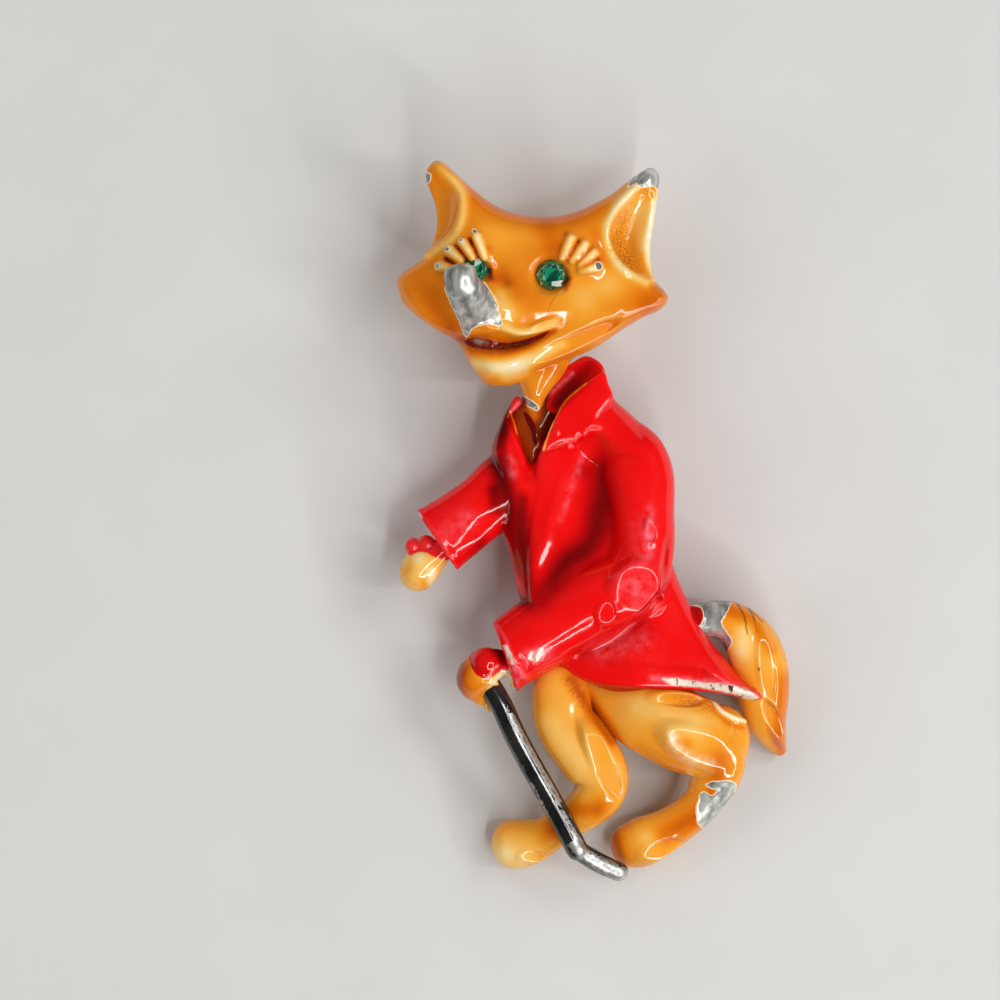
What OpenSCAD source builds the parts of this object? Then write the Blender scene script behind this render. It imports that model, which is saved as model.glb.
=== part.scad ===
// Figural brooch: a walking fox in a coat, with a cane, two cut stones for eyes and a pin back.
// Millimetres. It lies on its back on z = 0, with +Y towards the ears and +Z out of its face.

/* [Coat] */
// Height of the coat, from the collar's root to the hem
coat_h = 24; // [22:0.5:26]
// Width across the shoulders
coat_w = 13.6; // [12.4:0.2:14.8]
// Thickness of the coat's body in front of its back plane
coat_t = 4.4; // [4:0.1:5]
// Half the thickness of the collar's and lapels' edges
collar_r = 0.42; // [0.3:0.02:0.55]

/* [Arms] */
// Sideways reach of the near arm, from shoulder to cuff
near_arm_w = 10.2; // [9.4:0.2:11]
// Drop of the near arm, from shoulder to cuff
near_arm_h = 16.1; // [15.1:0.1:17.1]
// Sideways reach of the far arm
far_arm_w = 6.6; // [6:0.1:7.2]
// Drop of the far arm
far_arm_h = 5; // [4.4:0.1:5.6]
// Width of both sleeves at the cuff
sleeve_d = 5.6; // [5.2:0.1:6]
// Depth of the hollow in each cuff
cuff_depth = 1.3; // [0.9:0.1:1.6]
// Thickness of the cuff's rim
cuff_wall = 0.5; // [0.4:0.05:0.7]
// Length of the paws, from wrist to finger tips
paw_l = 4.6; // [4.2:0.1:5]
// Width of the paws
paw_w = 3.6; // [3.3:0.1:3.9]

/* [Head] */
// Width of the head, from cheek tip to cheek tip
head_w = 21.8; // [20:0.2:23.6]
// Height of the head, from chin to ear tips
head_h = 17.9; // [16.5:0.1:19.3]
// Thickness of the head in front of its rim
head_t = 3.4; // [3:0.1:4]
// Thickness of the head behind its rim
head_back = 1.2; // [0.9:0.1:1.5]
// Length of the nose, from the lip to its tip
nose_l = 5.6; // [5:0.1:6.2]
// Width of the nose
nose_d = 2.7; // [2.4:0.1:3]
// Width of one lash
lash_d = 0.76; // [0.6:0.02:0.9]
// Width of the neck
neck_d = 5; // [4.6:0.1:5.4]

/* [Eye stones] */
// Diameter of the cut stones
stone_d = 2.5; // [2.2:0.1:2.8]
// Height of a stone from its point to its table
stone_h = 1.3; // [1.1:0.05:1.5]
// Number of facets round the crown
stone_facets = 8; // [8:1:12]
// Width of the cup's rim round a stone
cup_wall = 0.4; // [0.3:0.05:0.5]

/* [Legs] */
// Height of the legs, from the hem to the soles
leg_h = 15; // [14:0.1:16]
// Stride of the near leg
near_leg_w = 11.4; // [10.6:0.1:12.2]
// Stride of the far leg
far_leg_w = 8.6; // [8:0.1:9.2]
// Thickness of the thighs
thigh_d = 6; // [5.6:0.1:6.4]

/* [Tail] */
// Height of the tail, from its bend to its tip
tail_h = 11.6; // [10.8:0.1:12.4]
// Width of the tail's bend, out from the coat
tail_w = 7; // [6.4:0.1:7.6]
// Thickness of the tail
tail_d = 4.6; // [4.2:0.1:5]

/* [Cane] */
// Diameter of the cane
cane_d = 1.85; // [1.7:0.05:2]
// Length of the cane from the paw to its foot
cane_l = 15.2; // [14.6:0.1:15.8]
// Lean of the cane from upright, in degrees
cane_lean = 27.5; // [26.5:0.5:28.5]
// Length of the bent foot
cane_foot_l = 3.7; // [3.2:0.1:4.2]

/* [Pin back] */
// Height of the pin back, from the floor to the coat's back
pin_h = 3.2; // [2.9:0.1:3.6]
// Length of the bar
pin_l = 15.6; // [14:0.2:16.6]
// Width of the bar
pin_bar_w = 2.6; // [2.2:0.1:3]
// Thickness of the bar
pin_bar_t = 0.6; // [0.5:0.05:0.8]
// Diameter of the pin stem
stem_d = 0.8; // [0.7:0.05:1]
// Width of the hinge barrel
hinge_w = 3.6; // [3:0.1:4.2]

/* [Fits] */
// Gap left round each piece that is seated in another
seat_gap = 0.06; // [0.04:0.01:0.1]

/* [Hidden] */

// Sides of a section and of a round piece, steps between the rows of a table, and a reach past all
section_sides = 12;
round_sides = 32;
row_steps = 2;
outline_steps = 2;
head_rings = [0.2, 0.38, 0.54, 0.68, 0.8, 0.89, 0.96, 1];
far_out = 60;

// Columns of a limb: across and up as shares of its reach, rise as a share of its lift, then half its
// width and half its depth as shares of its girth
ACROSS = 0;
UP = 1;
RISE = 2;
HALF_WIDTH = 3;
HALF_DEPTH = 4;
near_arm_rows = [
    [0.00, 0.00, 0.80, 0.51, 0.40],
    [0.07, -0.22, 0.88, 0.47, 0.42],
    [0.09, -0.45, 0.92, 0.45, 0.43],
    [-0.03, -0.64, 0.98, 0.48, 0.45],
    [-0.39, -0.77, 1.02, 0.49, 0.45],
    [-1.00, -1.00, 1.08, 0.50, 0.45],
    [-1.30, -1.11, 1.10, 0.50, 0.45]];
far_arm_rows = [
    [0.00, 0.00, 0.58, 0.56, 0.34],
    [-0.42, -0.44, 0.62, 0.46, 0.34],
    [-1.00, -1.00, 0.66, 0.51, 0.36],
    [-1.50, -1.50, 0.66, 0.51, 0.36]];
near_paw_rows = [
    [0.34, 0.14, 0.00, 0.20, 0.20],
    [-0.08, -0.06, 0.00, 0.28, 0.26],
    [-0.30, -0.20, -0.02, 0.42, 0.38],
    [-0.46, -0.38, -0.04, 0.56, 0.48],
    [-0.50, -0.52, -0.06, 0.50, 0.42]];
far_paw_rows = [
    [0.32, 0.22, 0.00, 0.20, 0.20],
    [-0.06, -0.12, -0.05, 0.28, 0.24],
    [-0.22, -0.36, -0.12, 0.42, 0.36],
    [-0.32, -0.56, -0.16, 0.45, 0.40],
    [-0.32, -0.64, -0.18, 0.40, 0.36]];
near_leg_rows = [
    [0.00, 0.06, 1.00, 0.40, 0.32],
    [0.28, -0.12, 1.00, 0.49, 0.38],
    [0.70, -0.26, 0.98, 0.51, 0.40],
    [0.86, -0.32, 0.94, 0.40, 0.36],
    [0.82, -0.51, 0.84, 0.28, 0.28],
    [0.70, -0.66, 0.70, 0.26, 0.26],
    [0.51, -0.77, 0.56, 0.28, 0.28],
    [0.30, -0.85, 0.36, 0.35, 0.33],
    [0.23, -0.86, 0.28, 0.32, 0.31]];
far_leg_rows = [
    [0.49, 0.04, 0.92, 0.37, 0.28],
    [0.50, -0.18, 0.90, 0.43, 0.32],
    [0.70, -0.36, 0.88, 0.44, 0.33],
    [0.84, -0.53, 0.82, 0.38, 0.31],
    [0.70, -0.66, 0.70, 0.29, 0.28],
    [0.47, -0.77, 0.54, 0.21, 0.22],
    [0.26, -0.84, 0.40, 0.30, 0.29],
    [0.02, -0.86, 0.30, 0.35, 0.32],
    [-0.03, -0.86, 0.28, 0.32, 0.31]];
tail_rows = [
    [-0.20, -0.01, 1.00, 0.32, 0.32],
    [0.11, 0.00, 1.00, 0.33, 0.34],
    [0.43, 0.00, 0.96, 0.38, 0.38],
    [0.68, -0.12, 0.84, 0.45, 0.44],
    [0.81, -0.35, 0.70, 0.50, 0.47],
    [0.84, -0.55, 0.54, 0.45, 0.42],
    [0.90, -0.72, 0.38, 0.34, 0.32],
    [1.00, -0.85, 0.20, 0.20, 0.19],
    [1.07, -0.90, 0.10, 0.11, 0.11]];
neck_rows = [
    [-0.16, 1.10, 0.90, 0.60, 0.34],
    [-0.26, 0.55, 0.90, 0.52, 0.32],
    [-0.33, 0.22, 0.88, 0.34, 0.28],
    [-0.37, 0.04, 0.86, 0.17, 0.20],
    [-0.39, -0.04, 0.84, 0.08, 0.14]];
shirt_rows = [
    [-0.12, 0.05, 0.36, 0.20, 0.28],
    [-0.18, -0.04, 0.38, 0.17, 0.28],
    [-0.22, -0.14, 0.40, 0.13, 0.27],
    [-0.24, -0.25, 0.42, 0.08, 0.24],
    [-0.25, -0.32, 0.43, 0.04, 0.20]];

// Columns of the coat's body: across, up, half width, half height and thickness, as shares of the
// coat's width, height and thickness, then turn in degrees
torso_rows = [
    [0.06, -0.06, 0.23, 0.07, 0.60, -20],
    [0.13, -0.16, 0.43, 0.08, 0.80, -18],
    [0.13, -0.30, 0.49, 0.09, 0.96, -5],
    [0.14, -0.45, 0.47, 0.09, 0.98, 0],
    [0.19, -0.60, 0.47, 0.09, 0.95, 0],
    [0.28, -0.75, 0.49, 0.09, 0.92, 0],
    [0.35, -0.85, 0.47, 0.07, 0.90, 0]];

// Columns of a flap's corners: across, up and rise, as shares of the coat's width, height and thickness
near_collar = [
    [0.14, 0.125, 0.74], [0.22, 0.085, 0.80], [0.26, 0.02, 0.80], [0.17, -0.08, 0.96],
    [0.03, -0.14, 0.98], [-0.09, -0.15, 0.90], [-0.035, -0.047, 0.90], [0.12, -0.07, 0.42]];
far_collar = [
    [-0.26, 0.02, 0.50], [-0.32, -0.04, 0.58], [-0.365, -0.11, 0.58], [-0.34, -0.20, 0.62],
    [-0.275, -0.31, 0.68], [-0.25, -0.20, 0.70], [-0.30, -0.07, 0.70]];
near_lapel = [
    [-0.11, -0.18, 0.92], [0.05, -0.17, 0.98], [0.11, -0.32, 1.04], [-0.03, -0.53, 0.98],
    [-0.20, -0.58, 0.72], [-0.21, -0.40, 0.82], [-0.06, -0.12, 0.50], [0.03, -0.12, 0.52],
    [-0.12, -0.48, 0.45]];
near_skirt = [
    [-0.01, -0.89, 0.55], [0.20, -0.93, 0.88], [0.52, -0.94, 0.90], [0.10, -0.60, 0.80],
    [0.46, -0.58, 0.76]];
skirt_tail = [
    [0.56, -0.945, 0.92], [0.68, -0.945, 0.70], [1.11, -0.965, 0.42], [0.50, -0.60, 0.80],
    [0.62, -0.56, 0.40], [0.60, -0.94, 0.20]];
// Corners of the opening between the lapels, across and up
opening = [
    [-0.31, -0.05], [-0.26, 0.02], [-0.14, 0.06], [-0.03, 0.00], [-0.12, -0.155], [-0.20, -0.253],
    [-0.25, -0.31], [-0.27, -0.19]];

// Points of the head's outline: across and up from its middle, as shares of its width and height
head_outline = [
    [0.505, -0.06], [0.46, 0.02], [0.43, 0.15], [0.445, 0.31], [0.475, 0.44], [0.44, 0.515],
    [0.36, 0.46], [0.26, 0.37], [0.11, 0.31], [-0.04, 0.31], [-0.15, 0.37], [-0.25, 0.47],
    [-0.34, 0.55], [-0.38, 0.51], [-0.36, 0.38], [-0.345, 0.24], [-0.39, 0.12], [-0.48, 0.03],
    [-0.49, -0.03], [-0.41, -0.14], [-0.28, -0.24], [-0.225, -0.33], [-0.17, -0.43], [-0.09, -0.45],
    [0.05, -0.38], [0.24, -0.27], [0.40, -0.15], [0.485, -0.11]];
// Columns of the face's relief: across, up, reach across, reach up, then rise as a share of head_t
face_relief = [
    [0.00, 0.00, 9.00, 9.00, 0.52],
    [-0.04, -0.22, 0.17, 0.13, 0.42],
    [-0.09, -0.38, 0.12, 0.08, 0.12],
    [0.00, 0.10, 0.22, 0.14, 0.16],
    [0.17, 0.12, 0.09, 0.07, 0.12],
    [-0.24, 0.14, 0.07, 0.08, 0.10],
    [0.30, -0.08, 0.14, 0.10, 0.12],
    [-0.32, 0.34, 0.03, 0.14, -0.30],
    [0.39, 0.24, 0.045, 0.15, -0.50]];
// Columns of the lashes: across and up of root and tip
lash_rows = [
    [0.125, 0.125, 0.158, 0.205], [0.160, 0.105, 0.205, 0.185],
    [0.185, 0.085, 0.232, 0.140], [0.190, 0.060, 0.250, 0.082],
    [-0.180, 0.140, -0.212, 0.222], [-0.218, 0.120, -0.256, 0.196],
    [-0.255, 0.100, -0.306, 0.146], [-0.280, 0.060, -0.330, 0.082]];
mouth_rows = [[-0.235, -0.245], [-0.12, -0.26], [0.00, -0.245], [0.085, -0.195]];
nose_rows = [
    [0.04, -0.06, 0.00, 0.46, 0.50],
    [-0.30, 0.36, 0.34, 0.50, 0.50],
    [-0.62, 0.76, 0.52, 0.44, 0.42]];
right_eye_at = [0.073, 0.036];
left_eye_at = [-0.212, 0.067];

// Where the pieces meet. The coat's own point is the root of the neck, and all else follows from it
arm_lift = 0.72 * coat_t;
head_rise = pin_h + 0.82 * coat_t;
head_at = [-0.128 * head_w, 0.514 * head_h, head_rise];
near_shoulder = [0.39 * coat_w, -0.18 * coat_h, pin_h];
far_shoulder = [-0.265 * coat_w, -0.26 * coat_h, pin_h];
hem_up = -0.95 * coat_h;
hip_rise = pin_h + 0.42 * coat_t;
near_hip = [0.20 * coat_w, hem_up, 0];
far_hip = [-0.32 * coat_w, hem_up, 0];
tail_root = [0.735 * coat_w, -0.74 * coat_h, 0];
tail_lift = pin_h + 0.3 * coat_t;
near_cuff_turn = 200;
far_cuff_turn = 215;
cane_foot_turn = -29;
pin_turn = -4;
pin_at = [0.13 * coat_w, -0.42 * coat_h, 0];

// Smooth curve through the rows of a table, and a closed one through points
function row_at(rows, i) = rows[max(0, min(len(rows) - 1, i))];
function curve(a, b, c, d, t) =
    0.5 * (2 * b + (c - a) * t + (2 * a - 5 * b + 4 * c - d) * t * t + (3 * b - a - 3 * c + d) * t * t * t);
function between(rows, i, t) =
    curve(row_at(rows, i - 1), row_at(rows, i), row_at(rows, i + 1), row_at(rows, i + 2), t);
function smooth(rows, steps = row_steps) =
    [for (i = [0 : len(rows) - 2], k = [0 : steps - 1]) between(rows, i, k / steps), rows[len(rows) - 1]];
function ring_at(points, i) = points[(i + len(points)) % len(points)];
function smooth_ring(points, steps) =
    [for (i = [0 : len(points) - 1], k = [0 : steps - 1])
        curve(ring_at(points, i - 1), points[i], ring_at(points, i + 1), ring_at(points, i + 2), k / steps)];

// A limb's rows in millimetres
function laid_out(rows, at, reach, lift, girth) =
    [for (q = rows)
        [at.x + q[ACROSS] * reach.x, at.y + q[UP] * reach.y, at.z + q[RISE] * lift,
         q[HALF_WIDTH] * girth, q[HALF_DEPTH] * girth]];
// Points of a flap in millimetres
function on_coat(q) = [q.x * coat_w, q.y * coat_h, pin_h + q.z * coat_t];

// One section of a limb, which never reaches below the floor, and the limb: its sections hulled in
// pairs along a smooth curve
module knuckle(row, grow = 0) {
    translate([row.x, row.y, max(row.z, row[HALF_DEPTH])])
        scale([row[HALF_WIDTH] + grow, row[HALF_WIDTH] + grow, row[HALF_DEPTH] + grow])
            sphere(1, $fn = section_sides);
}
module limb(rows, grow = 0) {
    s = smooth(rows);
    for (i = [0 : len(s) - 2])
        hull() {
            knuckle(s[i], grow);
            knuckle(s[i + 1], grow);
        }
}

// A round rod between two points
module rod(a, b, d) {
    v = b - a;
    translate(a)
        rotate([0, acos(v.z / norm(v)), atan2(v.y, v.x)])
            cylinder(d = d, h = norm(v), $fn = round_sides);
}

// Everything below a level, and everything on the far side of an upright plane
module below(level) {
    translate([-far_out, -far_out, level - far_out])
        cube([2 * far_out, 2 * far_out, far_out]);
}
module beyond(at, turn) {
    translate([at.x, at.y, 0])
        rotate([0, 0, turn])
            translate([0, -far_out / 2, -far_out / 2])
                cube([far_out, far_out, far_out]);
}

// Lines of the limbs
near_arm_line = laid_out(near_arm_rows, near_shoulder, [near_arm_w, near_arm_h], arm_lift, sleeve_d);
far_arm_line = laid_out(far_arm_rows, far_shoulder, [far_arm_w, far_arm_h], arm_lift, sleeve_d);
near_cuff = near_arm_line[len(near_arm_rows) - 2];
far_cuff = far_arm_line[len(far_arm_rows) - 2];
near_wrist = [near_cuff.x, near_cuff.y, near_cuff.z];
far_wrist = [far_cuff.x, far_cuff.y, far_cuff.z];
near_paw_line = laid_out(near_paw_rows, near_wrist, [paw_l, paw_l], paw_l, paw_w);
far_paw_line = laid_out(far_paw_rows, far_wrist, [paw_l, paw_l], paw_l, paw_w);
near_leg_line = laid_out(near_leg_rows, near_hip, [near_leg_w, leg_h], hip_rise, thigh_d);
far_leg_line = laid_out(far_leg_rows, far_hip, [far_leg_w, leg_h], hip_rise, thigh_d);
tail_line = laid_out(tail_rows, tail_root, [tail_w, tail_h], tail_lift, tail_d);
neck_line = laid_out(neck_rows, [0, 0, 0], [neck_d, neck_d], head_rise, neck_d);
shirt_line = [for (q = shirt_rows)
    [q[ACROSS] * coat_w, q[UP] * coat_h, pin_h + q[RISE] * coat_t,
     q[HALF_WIDTH] * coat_w, q[HALF_DEPTH] * coat_t]];

// The cane runs from inside the near paw, over the far ankle, to its foot
ankle = far_leg_line[5];
cane_top = near_wrist + [-0.275 * paw_l, -0.50 * paw_l, -0.04 * paw_l];
cane_end = [cane_top.x + cane_l * sin(cane_lean), cane_top.y - cane_l * cos(cane_lean),
            ankle.z + ankle[HALF_DEPTH] + cane_d / 2 + seat_gap];
cane_tip = cane_end + cane_foot_l * [cos(cane_foot_turn), sin(cane_foot_turn), -0.3];
cane_way = (cane_end - cane_top) / norm(cane_end - cane_top);
cane_foot_d = 0.78 * cane_d;

// The figure's own middle, which becomes the origin
left_edge = head_at.x - 0.492 * head_w;
right_edge = tail_line[4].x + tail_line[4][HALF_WIDTH];
top_edge = head_at.y + 0.55 * head_h;
low_edge = cane_tip.y - cane_foot_d / 2;
middle = [(left_edge + right_edge) / 2, (top_edge + low_edge) / 2, 0];

module placed() {
    translate(-middle) children();
}

// Height of the face over the head's rim, at a point given as shares of its width and height
function bump(q, x, y) = q[4] * exp(-pow((x - q[0]) / q[2], 2) - pow((y - q[1]) / q[3], 2));
function face_z(x, y, i = 0) =
    i == len(face_relief) ? 0 : head_t * bump(face_relief[i], x, y) + face_z(x, y, i + 1);
function on_face(p, lift = 0) =
    [head_at.x + p[0] * head_w, head_at.y + p[1] * head_h, head_rise + face_z(p[0], p[1]) + lift];
function rim_share(s) = sqrt(max(0, 1 - pow(s, 5)));

// The head's shell: rings of the outline, raised in front by the relief and rounded behind
module head_shell(grow = 0) {
    outline = smooth_ring(head_outline, outline_steps);
    n = len(outline);
    r = len(head_rings);
    front = [for (s = head_rings, p = outline)
        [p.x * s * (head_w + 2 * grow), p.y * s * (head_h + 2 * grow),
         rim_share(s) * face_z(p.x * s, p.y * s) + grow]];
    back = [for (i = [0 : r - 2], p = outline)
        [p.x * head_rings[i] * (head_w + 2 * grow), p.y * head_rings[i] * (head_h + 2 * grow),
         -rim_share(head_rings[i]) * head_back - grow]];
    points = concat(front, back, [[0, 0, face_z(0, 0) + grow], [0, 0, -head_back - grow]]);
    top = len(points) - 2;
    bottom = len(points) - 1;
    base = n * r;
    function front_id(i, j) = i * n + (j % n);
    function back_id(i, j) = i == r - 1 ? front_id(i, j) : base + i * n + (j % n);
    faces = concat(
        [for (j = [0 : n - 1]) [top, front_id(0, j + 1), front_id(0, j)]],
        [for (i = [0 : r - 2], j = [0 : n - 1]) each [
            [front_id(i, j), front_id(i, j + 1), front_id(i + 1, j + 1)],
            [front_id(i, j), front_id(i + 1, j + 1), front_id(i + 1, j)]]],
        [for (j = [0 : n - 1]) [bottom, back_id(0, j), back_id(0, j + 1)]],
        [for (i = [0 : r - 2], j = [0 : n - 1]) each [
            [back_id(i, j), back_id(i + 1, j + 1), back_id(i, j + 1)],
            [back_id(i, j), back_id(i + 1, j), back_id(i + 1, j + 1)]]]);
    translate(head_at)
        polyhedron(points, faces);
}

// The neck, which ends in a point over the shirt front
module neck(grow = 0) {
    limb(neck_line, grow);
}

module lashes() {
    for (q = lash_rows)
        hull() {
            translate(on_face([q[0], q[1]], 0.1 * lash_d))
                sphere(d = lash_d, $fn = 10);
            translate(on_face([q[2], q[3]], 0.3 * lash_d))
                sphere(d = lash_d, $fn = 10);
        }
}

module mouth() {
    for (i = [0 : len(mouth_rows) - 2])
        hull() {
            translate(on_face(mouth_rows[i]))
                sphere(d = 0.1 * nose_l, $fn = 10);
            translate(on_face(mouth_rows[i + 1]))
                sphere(d = 0.1 * nose_l, $fn = 10);
        }
}

module nose() {
    at = on_face([-0.11, -0.17]);
    limb(laid_out(nose_rows, at, [nose_l, nose_l], nose_l, nose_d));
}

// An eye's cup, and the seat that is cut into it for the stone
crown_h = 0.36 * stone_h;
module eye_cup(at) {
    translate(on_face(at, -1.2 * stone_h))
        cylinder(d = stone_d + 2 * cup_wall, h = 1.3 * stone_h, $fn = round_sides);
}
module eye_seat(at) {
    translate(on_face(at, crown_h - stone_h - seat_gap))
        cylinder(d = stone_d + 2 * seat_gap, h = 2 * stone_h, $fn = round_sides);
}

// A cut stone: table, crown, girdle and point
module cut_stone(at) {
    girdle_h = 0.06 * stone_h;
    translate(on_face(at, 0))
        hull() {
            cylinder(d = stone_d, h = girdle_h, $fn = 2 * stone_facets);
            translate([0, 0, girdle_h])
                cylinder(d1 = stone_d, d2 = 0.56 * stone_d, h = crown_h - girdle_h, $fn = stone_facets);
            translate([0, 0, crown_h - stone_h])
                cylinder(d1 = 0.1 * stone_d, d2 = stone_d, h = stone_h - crown_h, $fn = stone_facets);
        }
}

module head() {
    color("darkorange") placed()
        difference() {
            union() {
                head_shell();
                neck();
                nose();
                lashes();
                eye_cup(right_eye_at);
                eye_cup(left_eye_at);
            }
            mouth();
            eye_seat(right_eye_at);
            eye_seat(left_eye_at);
        }
}

module eye_stone_right() {
    color("green") placed() cut_stone(right_eye_at);
}

module eye_stone_left() {
    color("green") placed() cut_stone(left_eye_at);
}

module shirt_front() {
    color("darkgoldenrod") placed()
        difference() {
            limb(shirt_line);
            neck(seat_gap);
            head_shell(seat_gap);
            below(pin_h);
        }
}

// The coat's body, turned sections hulled in pairs
module torso() {
    s = smooth(torso_rows);
    for (i = [0 : len(s) - 2])
        hull()
            for (q = [s[i], s[i + 1]])
                translate([q[0] * coat_w, q[1] * coat_h, pin_h])
                    rotate([0, 0, q[5]])
                        scale([q[2] * coat_w, q[3] * coat_h, q[4] * coat_t])
                            sphere(1, $fn = section_sides);
}

module flap(corners) {
    hull()
        for (q = corners)
            translate(on_coat(q))
                sphere(r = collar_r, $fn = 10);
}

module cuff_hollow(cuff, turn) {
    translate([cuff.x, cuff.y, cuff.z])
        rotate([0, 90, turn])
            scale([(cuff[HALF_DEPTH] - cuff_wall) / (cuff[HALF_WIDTH] - cuff_wall), 1, 1])
                cylinder(
                    r = cuff[HALF_WIDTH] - cuff_wall, h = 2 * cuff_depth, center = true, $fn = round_sides);
}

module coat() {
    color("crimson") placed()
        difference() {
            union() {
                torso();
                for (corners = [near_collar, far_collar, near_lapel, near_skirt, skirt_tail])
                    flap(corners);
                difference() {
                    limb(near_arm_line);
                    beyond(near_cuff, near_cuff_turn);
                }
                difference() {
                    limb(far_arm_line);
                    beyond(far_cuff, far_cuff_turn);
                }
            }
            below(pin_h + seat_gap);
            translate([0, 0, pin_h + shirt_rows[0][RISE] * coat_t])
                linear_extrude(far_out)
                    polygon([for (p = opening) [p.x * coat_w, p.y * coat_h]]);
            cuff_hollow(near_cuff, near_cuff_turn);
            cuff_hollow(far_cuff, far_cuff_turn);
            limb(near_paw_line, seat_gap);
            limb(far_paw_line, seat_gap);
            limb(near_leg_line, seat_gap);
            limb(far_leg_line, seat_gap);
            limb(tail_line, seat_gap);
            limb(shirt_line, seat_gap);
            neck(seat_gap);
            head_shell(seat_gap);
        }
}

// Lumps of the frill round a wrist
module frill(line) {
    at = line[1];
    for (turn = [0 : 60 : 300])
        translate([at.x, at.y, at.z] + 0.24 * paw_w * [cos(turn), sin(turn), 0.6 * sin(2 * turn)])
            sphere(d = 0.34 * paw_w, $fn = 10);
}

module near_paw() {
    color("orange") placed()
        difference() {
            union() {
                limb(near_paw_line);
                frill(near_paw_line);
            }
            cane_form(seat_gap);
        }
}

module far_paw() {
    color("orange") placed() {
        limb(far_paw_line);
        frill(far_paw_line);
    }
}

// The cane's rod, elbow and bent foot
module cane_form(grow = 0) {
    rod(cane_top - grow * cane_way, cane_end, cane_d + 2 * grow);
    translate(cane_end)
        sphere(d = 1.03 * cane_d + 2 * grow, $fn = round_sides);
    rod(cane_end, cane_tip, cane_foot_d + 2 * grow);
    translate(cane_tip)
        sphere(d = 1.02 * cane_foot_d + 2 * grow, $fn = round_sides);
}

module cane() {
    color("dimgray") placed() cane_form();
}

module near_leg() {
    color("orange") placed()
        difference() {
            limb(near_leg_line);
            cane_form(seat_gap);
        }
}

module far_leg() {
    color("orange") placed()
        difference() {
            limb(far_leg_line);
            limb(near_leg_line, seat_gap);
            cane_form(seat_gap);
        }
}

module tail() {
    color("orange") placed()
        difference() {
            limb(tail_line);
            limb(near_leg_line, seat_gap);
        }
}

// Bar, hinge, stem and catch as one plain piece, with the hinge at the collar's end
module pin_back() {
    hinge_r = 0.36 * pin_h;
    post_w = 0.5 * pin_bar_w;
    half = pin_l / 2 - hinge_r;
    bar_z = pin_h - pin_bar_t;
    color("silver") placed()
        translate(pin_at)
            rotate([0, 0, pin_turn]) {
                translate([-pin_bar_w / 2, -pin_l / 2, bar_z])
                    cube([pin_bar_w, pin_l, pin_bar_t]);
                translate([-post_w / 2, half - hinge_r, hinge_r])
                    cube([post_w, 2 * hinge_r, bar_z - hinge_r]);
                translate([-hinge_w / 2, half, hinge_r])
                    rotate([0, 90, 0])
                        cylinder(r = hinge_r, h = hinge_w, $fn = round_sides);
                translate([0, half, hinge_r])
                    rotate([90, 0, 0])
                        cylinder(d = stem_d, h = 2 * half, $fn = round_sides);
                translate([-post_w / 2, -half - hinge_r, 0])
                    cube([post_w, 2 * hinge_r, bar_z]);
            }
}

head();
eye_stone_left();
eye_stone_right();
shirt_front();
coat();
near_paw();
far_paw();
cane();
near_leg();
far_leg();
tail();
pin_back();
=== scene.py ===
import math

import bpy
import numpy as np
from mathutils import Matrix, Vector


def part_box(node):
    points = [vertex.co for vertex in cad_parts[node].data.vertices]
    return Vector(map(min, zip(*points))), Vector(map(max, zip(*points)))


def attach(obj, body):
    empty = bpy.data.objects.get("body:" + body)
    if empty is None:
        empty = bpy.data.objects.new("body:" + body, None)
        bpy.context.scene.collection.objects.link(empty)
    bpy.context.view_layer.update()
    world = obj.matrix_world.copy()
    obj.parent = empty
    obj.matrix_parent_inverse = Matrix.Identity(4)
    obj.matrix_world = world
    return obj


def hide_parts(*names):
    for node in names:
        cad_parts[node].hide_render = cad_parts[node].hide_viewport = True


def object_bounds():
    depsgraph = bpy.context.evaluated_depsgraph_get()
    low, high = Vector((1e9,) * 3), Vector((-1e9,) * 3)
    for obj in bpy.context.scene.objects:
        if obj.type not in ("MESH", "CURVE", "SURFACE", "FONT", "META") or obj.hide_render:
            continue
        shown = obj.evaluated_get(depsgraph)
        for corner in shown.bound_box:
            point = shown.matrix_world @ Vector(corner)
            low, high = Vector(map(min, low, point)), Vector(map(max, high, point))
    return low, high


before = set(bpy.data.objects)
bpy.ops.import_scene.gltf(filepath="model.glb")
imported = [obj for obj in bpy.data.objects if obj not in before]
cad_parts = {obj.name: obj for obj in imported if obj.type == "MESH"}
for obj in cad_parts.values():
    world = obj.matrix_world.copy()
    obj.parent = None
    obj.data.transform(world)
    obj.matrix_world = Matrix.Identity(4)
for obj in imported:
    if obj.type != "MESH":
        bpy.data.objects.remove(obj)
cadLow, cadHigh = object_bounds()
print("frame loaded")

# Pieces are modelled in millimetres and shrunk to metres when they are done.
# Places across and up are read off the 1000 x 1000 view, where the figure's box has these edges.
view = {"left": 396.5, "right": 790.8, "top": 161, "foot": 883, "middle": 500}
millimetre = 0.001
pixel = (cadHigh.x - cadLow.x) / millimetre / (view["right"] - view["left"])


# View places in the first two columns become millimetres
def placed(rows):
    table = np.array(rows, float)
    table[:, 0] = cadLow.x / millimetre + (table[:, 0] - view["left"]) * pixel
    table[:, 1] = cadLow.y / millimetre + (view["foot"] - table[:, 1]) * pixel
    return table


# A smooth curve through rows, in steps from each row to the next
def smoothRows(table, steps=4, closed=False):
    if closed:
        padded = np.vstack([table[-1], table, table[0], table[1]])
    else:
        padded = np.vstack([table[0], table, table[-1]])
    made = []
    for i in range(len(padded) - 3):
        a, b, c, d = padded[i:i + 4]
        for k in range(steps):
            t = k / steps
            made.append(0.5 * (2 * b + (c - a) * t + (2 * a - 5 * b + 4 * c - d) * t ** 2
                               + (3 * b - a - 3 * c + d) * t ** 3))
    return np.array(made if closed else made + [table[-1]])


def clearSelection():
    if bpy.context.object and bpy.context.object.mode != "OBJECT":
        bpy.ops.object.mode_set(mode="OBJECT")
    bpy.ops.object.select_all(action="DESELECT")


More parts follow.
